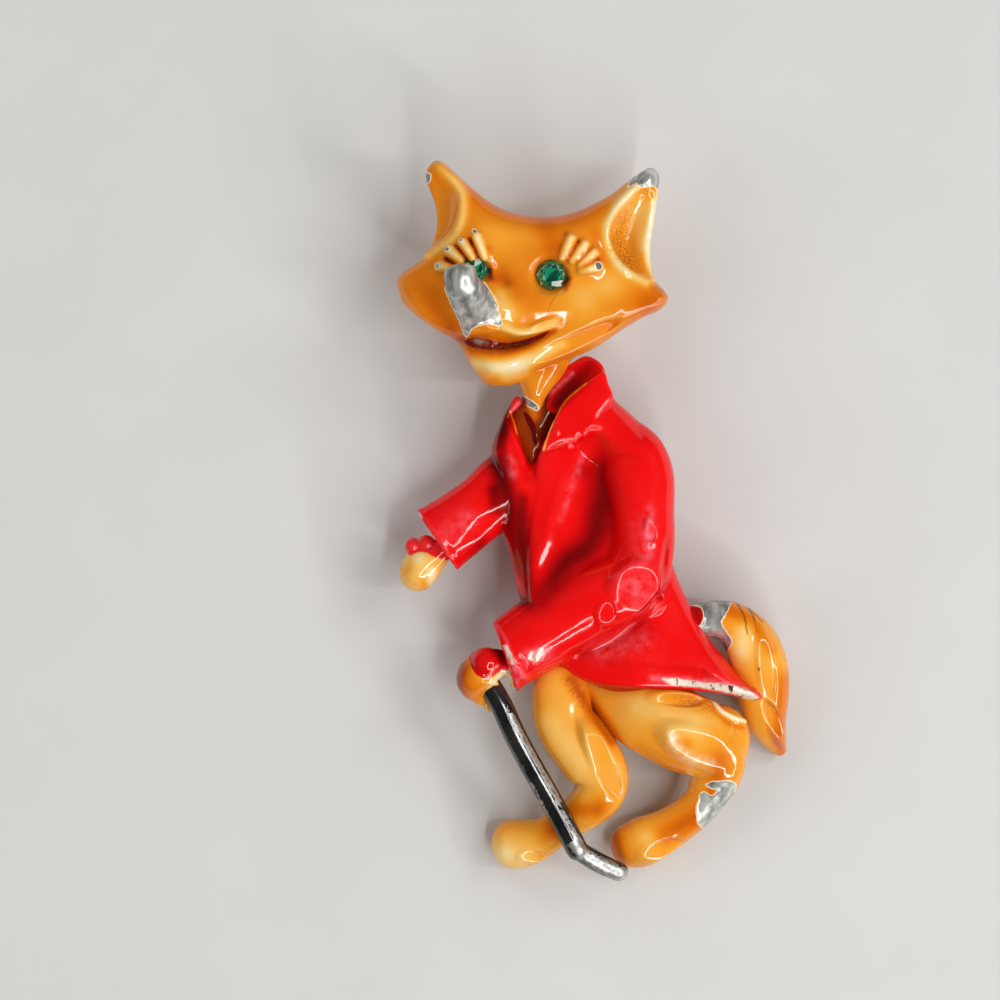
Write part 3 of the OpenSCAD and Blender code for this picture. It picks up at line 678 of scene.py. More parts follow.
# Legs and tail: columns are across, up, rise, half width and half depth. The near leg's knee bends too
# sharply for one limb, so it is three
nearLeg = {
    "rows": [
        (585, 672, 3.2, 1.4, 1.2), (600, 685, 3.5, 1.75, 1.45), (618, 698, 4.1, 2.4, 1.8),
        (640, 712, 4.8, 2.95, 2.15), (682, 731, 4.95, 3.3, 2.4), (711, 743, 4.7, 3.0, 2.25)],
    "knee": [
        (706, 730, 4.5, 2.0, 1.8), (721, 729, 4.4, 1.95, 1.7), (728, 738, 4.3, 1.85, 1.6),
        (725, 754, 4.3, 1.8, 1.6)],
    "shin": [
        (716, 742, 4.5, 2.3, 1.9), (720, 765, 4.3, 2.1, 1.9), (712, 787, 3.8, 1.85, 1.65),
        (699, 808, 3.1, 1.6, 1.6), (672, 829, 2.3, 1.7, 1.75), (645, 843, 1.95, 2.05, 1.9),
        (633, 847, 1.85, 1.9, 1.8)],
    "rounds": 12, "blendRounds": 30,
    "blends": [[(690, 773, 0.6, 1), (712, 768, 0.9, 1), (738, 758, 0.7, 1)], [(742, 748, 0.6, 1)]],
    "strokes": [
        [(662, 716, 1.2, 0.15), (700, 738, 1.2, 0.2)], [(700, 775, 0.7, -0.1)],
        [(712, 699, 0.2, 0.15), (721, 711, 0.22, 0.2), (734, 718, 0.22, 0.2), (746, 722, 0.2, 0.15)]],
    "loops": [(702, 748, 32, 12.5, -24, 0.12), (665, 851, 18, 8, 15, 0.05), (679, 699, 20, 6, -5, 0)],
    "paint": {
        "tone": 0.4, "bareTone": 0.14,
        # Painted shade in the crease by the far leg, below the hem, along the haunch's lower edge and
        # down the shin; painted light on top of the haunch and the foot, a painted highlight line at the
        # right with painted shade below it, and a painted reflection inside the haunch's loop
        "shades": [
            [(572, 678, 0.5, 0.4), (592, 705, 0.5, 0.36), (612, 732, 0.5, 0.34), (626, 752, 0.4, 0.2)],
            [(640, 690, 1.0, 0.1), (700, 700, 1.0, 0.16)],
            [(640, 750, 0.8, 0.1), (680, 772, 0.7, 0.16)], [(686, 742, 0.5, 0.16)],
            [(720, 760, 1.0, 0.25), (716, 790, 1.0, 0.3), (700, 815, 1.1, 0.38),
             (665, 835, 1.0, 0.28)], [(614, 842, 0.9, 0.34), (620, 862, 0.9, 0.28)],
            [(640, 705, 1.2, -0.16), (690, 722, 1.3, -0.18)], [(650, 838, 0.8, -0.14)],
            [(712, 699, 0.16, -0.45), (720, 710, 0.16, -0.5), (733, 717, 0.16, -0.5),
             (747, 721, 0.14, -0.45)],
            [(713, 708, 0.25, 0.2), (729, 724, 0.25, 0.2), (745, 728, 0.2, 0.15)]],
        "chips": [
            {"outline": [(706, 785), (722, 781), (735, 784), (733, 798), (724, 813), (713, 826),
                (702, 828), (697, 814), (699, 800), (704, 792), (712, 797), (718, 790)],
                "rise": (2.2, 99)}],
        # Painted highlights along the pale line at the right and the shin's inner edge, and a paler band
        # low on the haunch
        "wear": [
            [(671, 734, 0.35, 0.8), (677, 747, 0.45, 0.9), (690, 757, 0.4, 0.8), (712, 762, 0.3, 0.6)],
            [(714, 700, 0.1, 1), (721, 711, 0.1, 1), (734, 719, 0.1, 1), (746, 722, 0.08, 1)],
            [(688, 772, 0.1, 0.8), (694, 779, 0.1, 0.8), (692, 790, 0.1, 0.6)]],
        "stains": [
            [(592, 704, 0.3, 0.4), (605, 725, 0.3, 0.4), (616, 742, 0.25, 0.3)],
            [(680, 698, 0.5, 0.4), (712, 706, 0.6, 0.5)]]}}
farLeg = {
    "rows": [
        (560, 682, 4.65, 2.2, 1.6), (561, 700, 4.6, 2.4, 1.8), (565, 724, 4.5, 2.5, 1.9),
        (583, 748, 4.45, 2.6, 2.0), (599, 772, 4.3, 2.4, 1.95), (600, 792, 4.0, 2.1, 1.8),
        (585, 810, 3.5, 1.75, 1.6), (562, 826, 2.9, 1.4, 1.35), (545, 838, 2.3, 1.6, 1.55),
        (525, 845, 1.85, 2.0, 1.8), (512, 846, 1.75, 2.05, 1.7)],
    "rounds": 42, "strokes": [], "loops": [(603, 761, 34, 9, -67, 0.1), (534, 858, 11, 5, 0, 0)],
    "paint": {
        "tone": 0.38,
        # Painted shade in the crease by the near leg and at the knee, the shank deeper, the foot paler at
        # its tip, and painted light on the thigh
        "shades": [
            [(572, 678, 0.6, 0.4), (592, 712, 0.5, 0.4), (612, 742, 0.4, 0.3)],
            [(600, 805, 0.9, 0.2)],
            [(535, 700, 0.7, 0.08), (540, 740, 0.7, 0.12), (565, 780, 0.7, 0.12)],
            [(553, 830, 1.0, 0.4), (570, 812, 0.9, 0.36), (596, 812, 0.7, 0.2)],
            [(500, 830, 1.6, 0.08)], [(505, 855, 1.4, -0.3), (520, 862, 1.2, -0.2)],
            [(548, 725, 1.3, -0.14), (580, 760, 1.2, -0.12)]],
        "stains": [
            [(566, 678, 0.35, 0.5), (580, 700, 0.35, 0.5), (598, 722, 0.3, 0.4), (612, 742, 0.3, 0.3)]]}}
tail = {
    "rows": [
        (692, 622, 4.5, 1.5, 1.5), (705, 620, 4.5, 1.5, 1.5), (726, 621, 4.4, 1.7, 1.65),
        (748, 638, 4.1, 2.1, 1.95), (760, 665, 3.6, 2.3, 2.1), (764, 695, 3.0, 2.15, 2.0),
        (768, 722, 2.3, 1.7, 1.65), (777, 742, 1.55, 1.05, 1.0), (783, 753, 0.95, 0.55, 0.5)],
    "rounds": 42, "strokes": [[(716, 646, 0.5, -0.2)]],
    "loops": [(767, 669, 26, 6.5, -82, 0.05), (775, 722, 19, 5.5, -66, 0.05)],
    "paint": {
        "tone": 0.4, "bareTone": 0.05,
        # Tone strokes with painted shade and painted light: darker at the root, down the right edge and
        # at the lower left, lighter on the upper bend, and the red patch darker
        "shades": [
            [(728, 610, 0.8, 0.3), (750, 620, 0.6, 0.3), (770, 650, 0.5, 0.2)],
            [(785, 680, 0.7, 0.22), (780, 730, 0.7, 0.3), (784, 755, 0.5, 0.3)],
            [(745, 632, 0.8, -0.25), (742, 652, 0.9, -0.25)], [(735, 690, 0.8, 0.3)],
            [(696, 606, 0.8, 0.25), (698, 630, 0.8, 0.3)]],
        "chips": [
            {"outline": [(690, 592), (715, 592), (731, 597), (727, 610), (721, 622), (727, 634),
                (731, 641), (724, 652), (700, 652), (692, 634), (702, 624), (704, 612), (698, 605),
                (688, 603)]}],
        "seconds": [
            {"outline": [(676, 603), (697, 605), (705, 612), (704, 622), (694, 632), (676, 636)]}],
        "cracks": [
            [(736, 602, 0.06, 1), (744, 616, 0.06, 1), (747, 634, 0.05, 1)],
            [(741, 600, 0.06, 0.9), (752, 614, 0.06, 1), (757, 632, 0.05, 0.8)],
            [(747, 606, 0.05, 0.8), (763, 622, 0.05, 0.8)], [(759, 669, 0.14, 1)],
            [(724, 650, 0.3, 1)]]}}


def makeLimb(name, look, node):
    parts = [growLimb(name, look[part], fullness=0.86) for part in ("rows", "knee",
                                                                    "shin") if part in look]
    dressPiece(fuse(name, parts, rounds=look["rounds"]), look, amberEnamel, node)


makeLimb("nearLeg", nearLeg, "near_leg")
makeLimb("farLeg", farLeg, "far_leg")
makeLimb("foxTail", tail, "tail")


# Head: a crowned plate with a long nose, a neck and lashes laid on it. Relief columns are across, up,
# reach and lift in millimetres
head = {
    "outline": [
        (434, 162), (427, 170), (426, 181), (431, 194), (436, 208), (437, 228), (431, 248),
        (421, 261), (404, 272), (397, 281), (398, 290), (404, 305), (421, 320), (438, 331),
        (457, 342), (464, 353), (473, 369), (485, 384), (502, 387), (521, 383), (543, 372),
        (576, 357), (598, 347), (621, 331), (643, 318), (661, 310), (668, 299), (663, 290),
        (654, 281), (649, 270), (647, 250), (651, 222), (657, 193), (660, 180), (656, 171),
        (647, 168), (629, 181), (611, 195), (584, 209), (560, 216), (535, 217), (511, 213),
        (490, 203), (470, 187), (449, 168), (441, 162)],
    "look": {
        "rim": 6.8, "crown": 1.8, "rimWidth": 2.2, "back": 1.2, "backWidth": 2.6, "wall": 0.8,
        "sharp": [[(632, 330, 1.6, 1.0), (650, 316, 1.6, 2.2), (668, 300, 1.6, 2.2)]]},
    "relief": [
        [(490, 230, 2.5, 0.35), (575, 235, 2.5, 0.35)], [(548, 250, 1.2, 0.2), (590, 268, 1.0, 0.2)],
        [(486, 300, 2.4, 0.9), (520, 312, 2.2, 1.0), (575, 308, 2.0, 0.45)], [(482, 312, 1.4, 0.8)],
        [(434, 180, 1.0, -0.7), (440, 205, 1.45, -1.6), (440, 232, 1.2, -1.6), (430, 250, 0.8, -0.8)],
        [(642, 200, 0.9, -0.9), (634, 222, 1.2, -1.7), (628, 246, 1.2, -1.9), (637, 266, 0.8, -1.1)],
        [(436, 300, 1.0, -0.1), (445, 316, 1.0, -0.25), (452, 330, 0.7, -0.15)],
        [(490, 372, 0.8, 0.3), (515, 366, 0.8, 0.35), (545, 352, 0.9, 0.35), (605, 322, 1.0, 0.3)],
        [(648, 296, 1.2, -0.15)]],
    "pits": [[(551, 277.5, 1.38, -0.9)], [(475, 273, 1.15, -0.9)]],
    "nose": [
        (485, 334, 8.9, 1.6, 1.0), (481, 322, 9.7, 1.6, 1.15), (474, 307, 10.8, 1.55, 1.3),
        (467, 294, 11.7, 1.48, 1.36), (462, 284, 12.1, 1.42, 1.36), (460, 275, 12.2, 1.38, 1.3)],
    "noseSide": [(497, 325, 9.1, 0.9, 0.8), (489, 311, 10.1, 1.15, 1.0), (478, 294, 11.2, 1.05, 1.0)],
    "neck": [
        (544, 350, 6.8, 2.35, 1.6), (538, 372, 6.9, 1.95, 1.5), (535, 392, 7.0, 1.1, 1.25),
        (534, 405, 6.9, 0.65, 0.8)],
    "lashes": [
        ((562, 259), (571, 240)), ((572, 262), (585, 246)), ((580, 266), (594, 254)),
        ((580, 272), (597, 268)), ((485, 259), (477, 238)), ((473, 260), (463, 244)),
        ((461, 262), (450, 252)), ((450, 270), (441, 268))],
    "lashRows": [(0.06, 0.36, 0.32), (0.18, 0.47, 0.4), (0.12, 0.49, 0.38)],
    "strokes": [
        [(490, 330, 0.4, 0.2), (502, 328, 0.45, 0.4), (519, 333, 0.42, 0.5), (538, 331, 0.4, 0.4),
         (556, 324, 0.35, 0.2)],
        [(464, 342, 0.4, -0.3), (480, 344, 0.5, -0.45), (500, 346, 0.5, -0.5), (522, 344, 0.45, -0.5),
         (540, 338, 0.34, -0.4), (553, 332, 0.25, -0.2)],
        [(486, 346, 0.25, 0.25), (492, 346, 0.25, 0.25)],
        [(468, 354, 0.5, 0.15), (495, 357, 0.7, 0.25), (525, 352, 0.6, 0.2), (550, 342, 0.5, 0.15)],
        [(414, 297, 0.45, 0.06), (420, 313, 0.45, 0.1), (437, 328, 0.4, 0.06)],
        [(440, 168, 0.3, 0.15), (455, 183, 0.4, 0.35), (463, 200, 0.4, 0.4), (460, 224, 0.4, 0.4),
         (449, 241, 0.4, 0.35), (428, 257, 0.3, 0.25)],
        [(640, 184, 0.3, 0.15), (617, 208, 0.32, 0.3), (606, 230, 0.32, 0.3), (609, 251, 0.32, 0.3),
         (621, 269, 0.32, 0.3), (645, 283, 0.3, 0.2)],
        [(657, 192, 0.25, 0.15), (650, 225, 0.28, 0.3), (647, 258, 0.28, 0.3), (652, 280, 0.25, 0.2)],
        [(497, 272, 0.7, -0.35), (505, 282, 0.5, -0.35)],
        ringStroke((551, 277.5), 19, 0.3, 0.06, -110, 60),
        ringStroke((475, 273), 17, 0.26, 0.05, -80, 80)],
    "loops": [(574, 343, 40, 6.5, 26, 0.05), (546, 326, 13, 3.5, 18, 0)],
    "paint": {
        "tone": 0.53, "pooling": 1.6, "bareTone": 0.0,
        # Tone strokes: the enamel's own zones, with painted shade in the ear hollows, at the left cheek,
        # round the eyes, between the lashes and round the mouth, and painted highlights on the ear rims,
        # the muzzle, the upper lip and the chin; the lashes are paler
        "shades": [
            [(480, 200, 1.2, 0.1), (535, 222, 0.9, 0.16), (600, 208, 1.0, 0.12)],
            [(434, 180, 1.0, 0.06), (440, 205, 1.3, -0.02), (440, 235, 1.2, -0.06)],
            [(420, 285, 1.2, 0.12), (436, 305, 1.0, 0.2), (448, 325, 0.9, 0.2)],
            [(453, 330, 0.6, 0.1), (458, 338, 0.5, 0.2)],
            [(545, 228, 0.8, 0.1), (552, 248, 0.8, 0.2)],
            [(600, 238, 0.7, 0.14), (603, 262, 0.6, 0.1)],
            [(645, 303, 1.1, 0.16), (660, 298, 0.8, 0.14)],
            [(500, 298, 0.8, -0.26), (510, 316, 0.8, -0.3)],
            [(520, 292, 1.0, 0.1), (535, 300, 1.0, 0.08)],
            [(500, 235, 1.5, -0.1), (540, 232, 1.5, -0.05)], [(585, 302, 1.8, -0.2)],
            [(612, 285, 1.2, -0.2)], [(568, 280, 0.28, 0.45), (565, 290, 0.25, 0.35)],
            [(489, 272, 0.32, 0.5), (491, 280, 0.3, 0.35)],
            [(500, 280, 0.6, 0.2), (512, 284, 0.5, 0.08)],
            [(501, 327, 0.4, -0.3), (519, 334, 0.4, -0.4), (538, 331, 0.35, -0.4),
             (556, 324, 0.3, -0.3)],
            [(464, 341, 0.5, 0.2), (480, 344, 0.6, 0.22), (510, 346, 0.6, 0.24),
             (535, 339, 0.5, 0.24), (552, 332, 0.34, 0.2)],
            [(475, 352, 0.5, 0.2), (500, 354, 0.5, 0.22), (530, 348, 0.45, 0.14)],
            [(476, 364, 0.6, -0.36), (500, 368, 0.7, -0.48), (531, 360, 0.65, -0.44),
             (562, 345, 0.45, -0.24)], [(505, 378, 0.5, -0.2), (525, 372, 0.5, -0.2)],
            [(437, 167, 0.35, -0.1), (455, 183, 0.4, -0.3), (464, 202, 0.4, -0.25),
             (461, 226, 0.35, -0.3), (450, 242, 0.35, -0.3), (428, 257, 0.35, -0.28)],
            [(640, 183, 0.4, -0.3), (615, 210, 0.4, -0.4), (605, 232, 0.4, -0.42),
             (609, 253, 0.4, -0.4), (622, 270, 0.4, -0.35), (645, 284, 0.4, -0.3)],
            [(658, 192, 0.3, -0.35), (650, 228, 0.3, -0.42), (648, 260, 0.3, -0.4),
             (654, 280, 0.3, -0.3)], [(640, 212, 1.3, -0.3), (642, 245, 0.8, -0.26)],
            [(622, 230, 0.8, -0.1), (620, 250, 0.8, -0.04), (632, 268, 0.5, 0.04)],
            [(562, 259, 0.3, -0.35), (571, 240, 0.36, -0.45)],
            [(572, 262, 0.3, -0.3), (585, 246, 0.36, -0.45)],
            [(580, 266, 0.3, -0.3), (594, 254, 0.36, -0.45)],
            [(582, 272, 0.3, -0.25), (597, 268, 0.36, -0.45)],
            [(485, 259, 0.3, -0.35), (477, 238, 0.34, -0.45)],
            [(473, 260, 0.3, -0.3), (463, 244, 0.34, -0.45)],
            [(461, 262, 0.3, -0.3), (450, 252, 0.34, -0.45)],
            [(450, 270, 0.3, -0.3), (441, 268, 0.34, -0.45)],
            [(567, 261, 0.22, 0.3), (578, 243, 0.22, 0.34)],
            [(577, 264, 0.22, 0.3), (590, 250, 0.22, 0.34)],
            [(581, 270, 0.22, 0.26), (597, 261, 0.22, 0.34)], [(566, 236, 0.25, 0.25)],
            [(479, 260, 0.2, 0.45), (470, 241, 0.2, 0.5)],
            [(467, 261, 0.2, 0.45), (457, 248, 0.2, 0.5)],
            [(455, 266, 0.2, 0.4), (446, 260, 0.2, 0.5)], [(489, 250, 0.25, 0.16)],
            [(540, 368, 0.8, 0.06), (560, 372, 0.8, 0.1)]],
        "seconds": [
            {"outline": [(464, 342), (476, 338), (492, 341), (504, 344), (520, 342), (537, 336),
                (550, 332), (538, 341), (520, 348), (495, 351), (477, 349), (468, 346)]}],
        "chips": [
            {"outline": [(440, 262), (452, 252), (466, 252), (473, 260), (478, 272), (482, 284),
                (480, 292), (445, 294), (440, 280)], "rise": (10.4, 99)},
            {"outline": [(448, 284), (480, 282), (490, 295), (498, 311), (501, 326), (490, 325),
                (480, 326), (472, 330), (466, 337), (460, 322), (450, 300)], "rise": (8.6, 99)},
            {"outline": [(628, 188), (636, 184), (640, 189), (652, 187), (661, 190), (666, 176),
                (656, 164), (643, 164), (634, 176)]},
            {"outline": [(523, 397), (530, 401), (538, 407), (536, 410), (526, 404)]},
            {"outline": [(426, 174), (430, 176), (429, 182), (426, 183)]},
            {"outline": [(595, 265), (600, 265), (601, 270), (596, 271)]},
            {"outline": [(474, 232), (477, 232.5), (476, 234), (474, 234)]},
            {"outline": [(459.5, 240), (462, 241), (461, 243), (459, 242)]},
            {"outline": [(446, 249), (449, 249), (448.5, 252), (446, 252)]},
            {"outline": [(437, 265), (439, 266), (439, 270), (437.5, 270)]}],
        "cracks": [[(556, 296, 0.06, 0.3), (551, 304, 0.07, 0.45), (546, 316, 0.05, 0.3)]],
        # Painted highlights in the mouth
        "wear": [[(476, 342, 0.2, 0.5), (486, 344, 0.2, 0.35)]],
        # Glints: painted highlight that lightens the bare metal at the ear tip and on the nose
        "glints": [[(650, 176, 1.6, 0.08)], [(458, 280, 2.2, 0.1), (486, 322, 2.2, 0.12)]],
        "stains": [
            [(466, 345, 0.35, 0.7), (500, 349, 0.35, 0.8), (540, 340, 0.25, 0.7)],
            [(634, 208, 0.5, 0.2), (621, 228, 0.7, 0.55), (619, 248, 0.7, 0.75), (631, 266, 0.5, 0.7)]]}}


def makeHead(look):
    plate = castPlate("headCasting", look["outline"], look["look"], look["relief"], look["pits"])
    parts = [plate, growLimb("nose", look["nose"], blunt=0.6), growLimb("neck", look["neck"]),
             growLimb("noseSide", look["noseSide"], sides=16)]
    for root, tip in look["lashes"]:
        middle = ((root[0] + tip[0]) / 2, (root[1] + tip[1]) / 2)
        rows = [(*place, topAt(plate, *place) + lift, wide, thick)
                for place, (lift, wide, thick) in zip((root, middle, tip), look["lashRows"])]
        parts.append(growLimb("lash", rows, sides=14))
    dressPiece(fuse("headCasting", parts, 0.11, 3), look, amberEnamel, "head")


makeHead(head)

# Coat: a body, the front that laps over it, collar leaves and two sleeves with open cuffs
coat = {
    "body": [
        (603, 372), (614, 398), (628, 411), (646, 428), (664, 446), (672, 463), (675, 484),
        (672, 510), (669, 537), (673, 564), (685, 594), (707, 635), (726, 659), (743, 680),
        (761, 693), (757, 701), (720, 694), (690, 691), (660, 693), (625, 694), (599, 688),
        (566, 671), (545, 655), (530, 630), (521, 603), (515, 581), (509, 554), (502, 532),
        (500, 505), (494, 470), (492, 446), (500, 425), (508, 408), (516, 420), (522, 442),
        (532, 464), (541, 450), (553, 425), (566, 402), (577, 378), (590, 364)],
    "bodyLook": {
        "rim": 4.6, "crown": 2.3, "rimWidth": 2.4, "back": 0.6, "backWidth": 1.0, "wall": 0.9},
    "bodyRelief": [
        [(600, 440, 2.0, 0.4), (640, 450, 2.0, 0.7)], [(640, 640, 3.0, 0.25)],
        [(600, 450, 1.4, -0.7), (602, 480, 1.8, -1.1), (600, 540, 1.8, -1.1), (580, 578, 1.5, -0.8)],
        [(715, 678, 2.2, 0.55)], [(574, 452, 1.6, -0.9), (580, 490, 1.6, -0.7)],
        [(505, 500, 1.0, -0.5), (515, 570, 1.0, -0.5)]],
    "front": [
        (541, 449), (560, 438), (592, 432), (625, 446), (640, 500), (640, 560), (604, 612),
        (560, 624), (532, 610), (528, 565), (530, 520), (534, 480)],
    "frontLook": {
        "rim": 6.2, "crown": 0.75, "rimWidth": 1.7, "back": 0.6, "backWidth": 0.6, "wall": 0.5,
        "lean": (-0.22, -0.1)},
    "collar": [
        (603, 371), (608, 384), (613, 397), (606, 409), (597, 420), (592, 432), (569, 444),
        (542, 452), (547, 435), (555, 418), (566, 400), (584, 384)],
    "collarLook": {
        "rim": 7.3, "crown": 0.25, "rimWidth": 0.7, "back": 0.5, "backWidth": 0.5, "wall": 0.45,
        "lean": (-0.08, -0.1)},
    "collarBack": [
        (560, 374), (575, 361), (588, 356), (603, 366), (604, 385), (580, 410), (556, 414), (545, 404)],
    "collarBackLook": {
        "rim": 6.0, "crown": 0.35, "rimWidth": 0.9, "back": 0.5, "backWidth": 0.5, "wall": 0.6},
    "lapel": [
        (516, 396), (523, 402), (517, 409), (509, 418), (514, 432), (521, 448), (526, 463),
        (522, 480), (518, 495), (509, 484), (499, 466), (495, 448), (500, 428), (507, 410)],
    "lapelLook": {
        "rim": 6.2, "crown": 0.35, "rimWidth": 0.8, "back": 0.9, "backWidth": 0.5, "wall": 0.6},
    "nearSleeve": [
        (606, 424, 4.6, 1.5, 1.3), (620, 440, 5.3, 2.2, 1.8), (632, 458, 5.75, 2.75, 2.2),
        (639, 482, 5.95, 2.85, 2.35), (642, 512, 6.05, 2.6, 2.4), (643, 548, 6.2, 2.5, 2.45),
        (629, 583, 6.65, 2.85, 2.5), (583, 607, 6.6, 3.0, 2.5), (540, 633, 6.38, 3.0, 2.5),
        (505, 656, 6.1, 2.88, 2.5)],
    "farSleeve": [
        (525, 472, 4.1, 2.4, 1.6), (508, 486, 4.6, 2.8, 1.8), (485, 505, 5.2, 2.6, 1.85),
        (460, 524, 5.42, 2.7, 1.9), (437, 540, 5.25, 2.88, 1.9)],
    "nearCuff": {"turn": 200, "wall": 0.5, "depth": 1.4, "narrowing": 0.8},
    "farCuff": {"turn": 215, "wall": 0.45, "depth": 1.3, "narrowing": 0.8}, "blendRounds": 40,
    "blends": [
        [(625, 425, 1.2, 1), (612, 440, 1.0, 1)],
        [(660, 600, 0.7, 1), (610, 645, 0.7, 1), (575, 660, 0.6, 1)],
        [(596, 430, 0.5, 1), (576, 441, 0.5, 1), (556, 449, 0.45, 0.8)]],
    "strokes": [
        [(578, 450, 0.5, 0.05), (569, 468, 0.5, 0.12), (557, 497, 0.5, 0.18), (545, 540, 0.5, 0.18),
         (535, 565, 0.4, 0.1)],
        [(670, 536, 0.3, -0.05), (667, 550, 0.35, -0.2), (664, 575, 0.35, -0.25),
         (661, 597, 0.3, -0.2)],
        [(579, 656, 0.4, -0.3), (612, 642, 0.45, -0.4), (642, 618, 0.45, -0.4),
         (658, 598, 0.35, -0.3)],
        [(570, 672, 0.3, 0.12), (600, 680, 0.32, 0.25), (650, 684, 0.32, 0.3), (700, 686, 0.32, 0.3),
         (752, 694, 0.3, 0.2)],
        [(575, 660, 0.6, -0.25), (625, 668, 0.7, -0.3), (700, 672, 0.6, -0.25)],
        [(611, 610, 0.55, 0.1)], [(652, 528, 0.6, 0.15), (648, 540, 0.5, 0.1)],
        [(514, 658, 0.45, 0.2), (524, 676, 0.45, 0.28)], [(535, 664, 0.6, 0.2)],
        [(521, 662, 0.25, 0.12), (520, 673, 0.25, 0.12)],
        [(495, 622, 0.3, 0.12), (506, 640, 0.3, 0.16), (514, 665, 0.3, 0.16), (518, 688, 0.3, 0.2)],
        [(420, 512, 0.3, 0.12), (440, 540, 0.3, 0.16), (457, 569, 0.3, 0.12)],
        [(540, 605, 0.8, -0.2)], [(597, 428, 0.6, 0.2), (610, 440, 0.5, 0.15)],
        [(650, 448, 1.2, 0.12)], [(575, 441, 0.3, 0.14)], [(584, 434, 0.22, 0.12)],
        [(557, 432, 0.2, 0.12)], [(569, 444, 0.25, 0.12)]],
    "loops": [(637, 588, 19, 20, 0, 0.1), (606, 613, 7, 9, -20, 0.05), (650, 530, 4, 9, 10, 0)],
    "paint": {
        "tone": 0.36, "pooling": 2.0, "enamel": 0.05, "bareTone": 0.0,
        # Painted shade: the valley between the front and the near sleeve, the strip and lapel edge at the
        # left, under and round the far sleeve, the crease at the right side, the collar's inside, along
        # the hem and on the skirt
        "shades": [
            [(602, 445, 0.7, 0.1), (600, 470, 1.1, 0.3), (599, 505, 1.3, 0.42), (591, 542, 1.3, 0.44),
             (566, 562, 1.1, 0.46), (545, 590, 0.9, 0.34), (530, 603, 0.8, 0.28)],
            [(582, 470, 0.8, 0.14)],
            [(523, 500, 0.5, 0.3), (524, 545, 0.6, 0.3), (527, 585, 0.6, 0.3)],
            [(497, 462, 0.9, 0.45), (507, 505, 0.8, 0.4), (513, 570, 0.8, 0.28)],
            [(482, 543, 0.7, 0.2)], [(492, 490, 0.5, 0.28), (494, 508, 0.5, 0.28)],
            [(669, 535, 0.25, 0.08), (666, 550, 0.25, 0.14), (662, 597, 0.25, 0.14)],
            [(590, 366, 0.8, 0.3), (572, 385, 0.8, 0.42), (556, 404, 0.6, 0.45)],
            [(507, 408, 0.5, 0.4), (504, 428, 0.6, 0.6), (499, 444, 0.6, 0.4)],
            [(480, 560, 1.0, 0.3)], [(520, 600, 0.6, 0.3)],
            [(570, 684, 0.5, 0.2), (625, 690, 0.4, 0.25), (690, 690, 0.3, 0.15)],
            [(585, 655, 1.0, 0.08), (612, 648, 1.2, 0.1), (645, 630, 1.0, 0.16)]],
        "seconds": [
            {"outline": [(542, 453), (547, 436), (554, 418), (565, 400), (584, 384), (585, 384.8),
                (566.3, 401), (555.5, 418.6), (548.4, 436.3), (543.6, 452)], "rise": (6.6, 99)},
            {"outline": [(510.5, 410), (514, 420), (517.7, 431), (522, 438), (529, 441.8),
                (529, 443.4), (521, 439.8), (516.2, 432), (512.5, 421), (509.2, 411)],
                "rise": (5.9, 99)}],
        "chips": [
            {"outline": [(662, 678), (682, 679), (700, 682), (722, 684), (742, 688), (758, 697),
                (748, 700), (734, 694), (712, 689), (690, 686), (672, 684)]},
            # The next two patches by the cuff are painted highlights, cut as bare spots
            {"outline": [(529, 658), (530, 652), (534, 650), (532, 655), (533, 660)], "rise": (6, 99)},
            {"outline": [(534, 661), (536, 654), (541, 648), (543, 650), (539, 658)], "rise": (6, 99)},
            {"outline": [(504, 646), (507, 645), (509, 651), (507, 652)], "rise": (6, 99)},
            {"outline": [(507, 653), (511, 653), (514, 663), (511, 662)], "rise": (6, 99)},
            {"outline": [(414, 510), (418, 512), (422, 518), (419, 519), (415, 514)]}],
        # Wear and painted sheen: the streak on the collar's back, the line along the front's ridge, the
        # upper arm, the far sleeve, the far lapel's tip and the patch by the cuff are painted highlights;
        # the hem band, the cuff's edges and the lapel patches are wear; the elbow and the skirt are paler
        # pink
        "wear": [
            [(546, 396, 0.2, 0.9), (560, 385, 0.16, 0.8), (572, 374, 0.16, 0.7)],
            [(637, 588, 1.3, 0.6)],
            [(650, 505, 0.3, 0.3), (649, 530, 0.4, 0.8), (648, 555, 0.4, 0.4)],
            [(583, 455, 0.25, 0.2), (572, 485, 0.3, 0.45), (560, 520, 0.25, 0.3)],
            [(640, 525, 0.8, 0.2), (640, 560, 0.9, 0.2)],
            [(600, 650, 0.9, 0.3), (640, 640, 1.0, 0.25)],
            [(445, 535, 1.0, 0.3), (468, 520, 0.8, 0.4)],
            [(511, 458, 0.32, 0.45), (513, 475, 0.35, 0.5)],
            [(520, 403, 0.3, 0.5), (513, 410, 0.3, 0.45)],
            [(652, 679, 0.3, 0.7), (700, 680, 0.25, 0.8), (745, 688, 0.3, 0.8)],
            [(512, 660, 0.35, 0.6), (523, 677, 0.35, 0.6)],
            [(528, 656, 0.5, 0.8), (545, 652, 0.6, 0.8)],
            [(495, 622, 0.13, 0.4), (506, 640, 0.13, 0.5), (514, 665, 0.13, 0.5),
             (518, 688, 0.13, 0.5)]],
        "stains": [[(602, 438, 0.4, 0.2), (611, 448, 0.4, 0.3)]]}}


def makeCoat(look):
    parts = [castPlate("coatCasting", look["body"], look["bodyLook"], look["bodyRelief"])]
    for part in ("front", "collar", "collarBack", "lapel"):
        parts.append(castPlate(part, look[part], look[part + "Look"], voxel=0.12))
    for side in ("near", "far"):
        sleeve, cuff = look[side + "Sleeve"], look[side + "Cuff"]
        parts.append(growLimb(side + "Sleeve", sleeve, sides=40, roundEnd=False, cuff=cuff))
    dressPiece(fuse("coatCasting", parts, 0.12, 5), look, redEnamel, "coat")


makeCoat(coat)

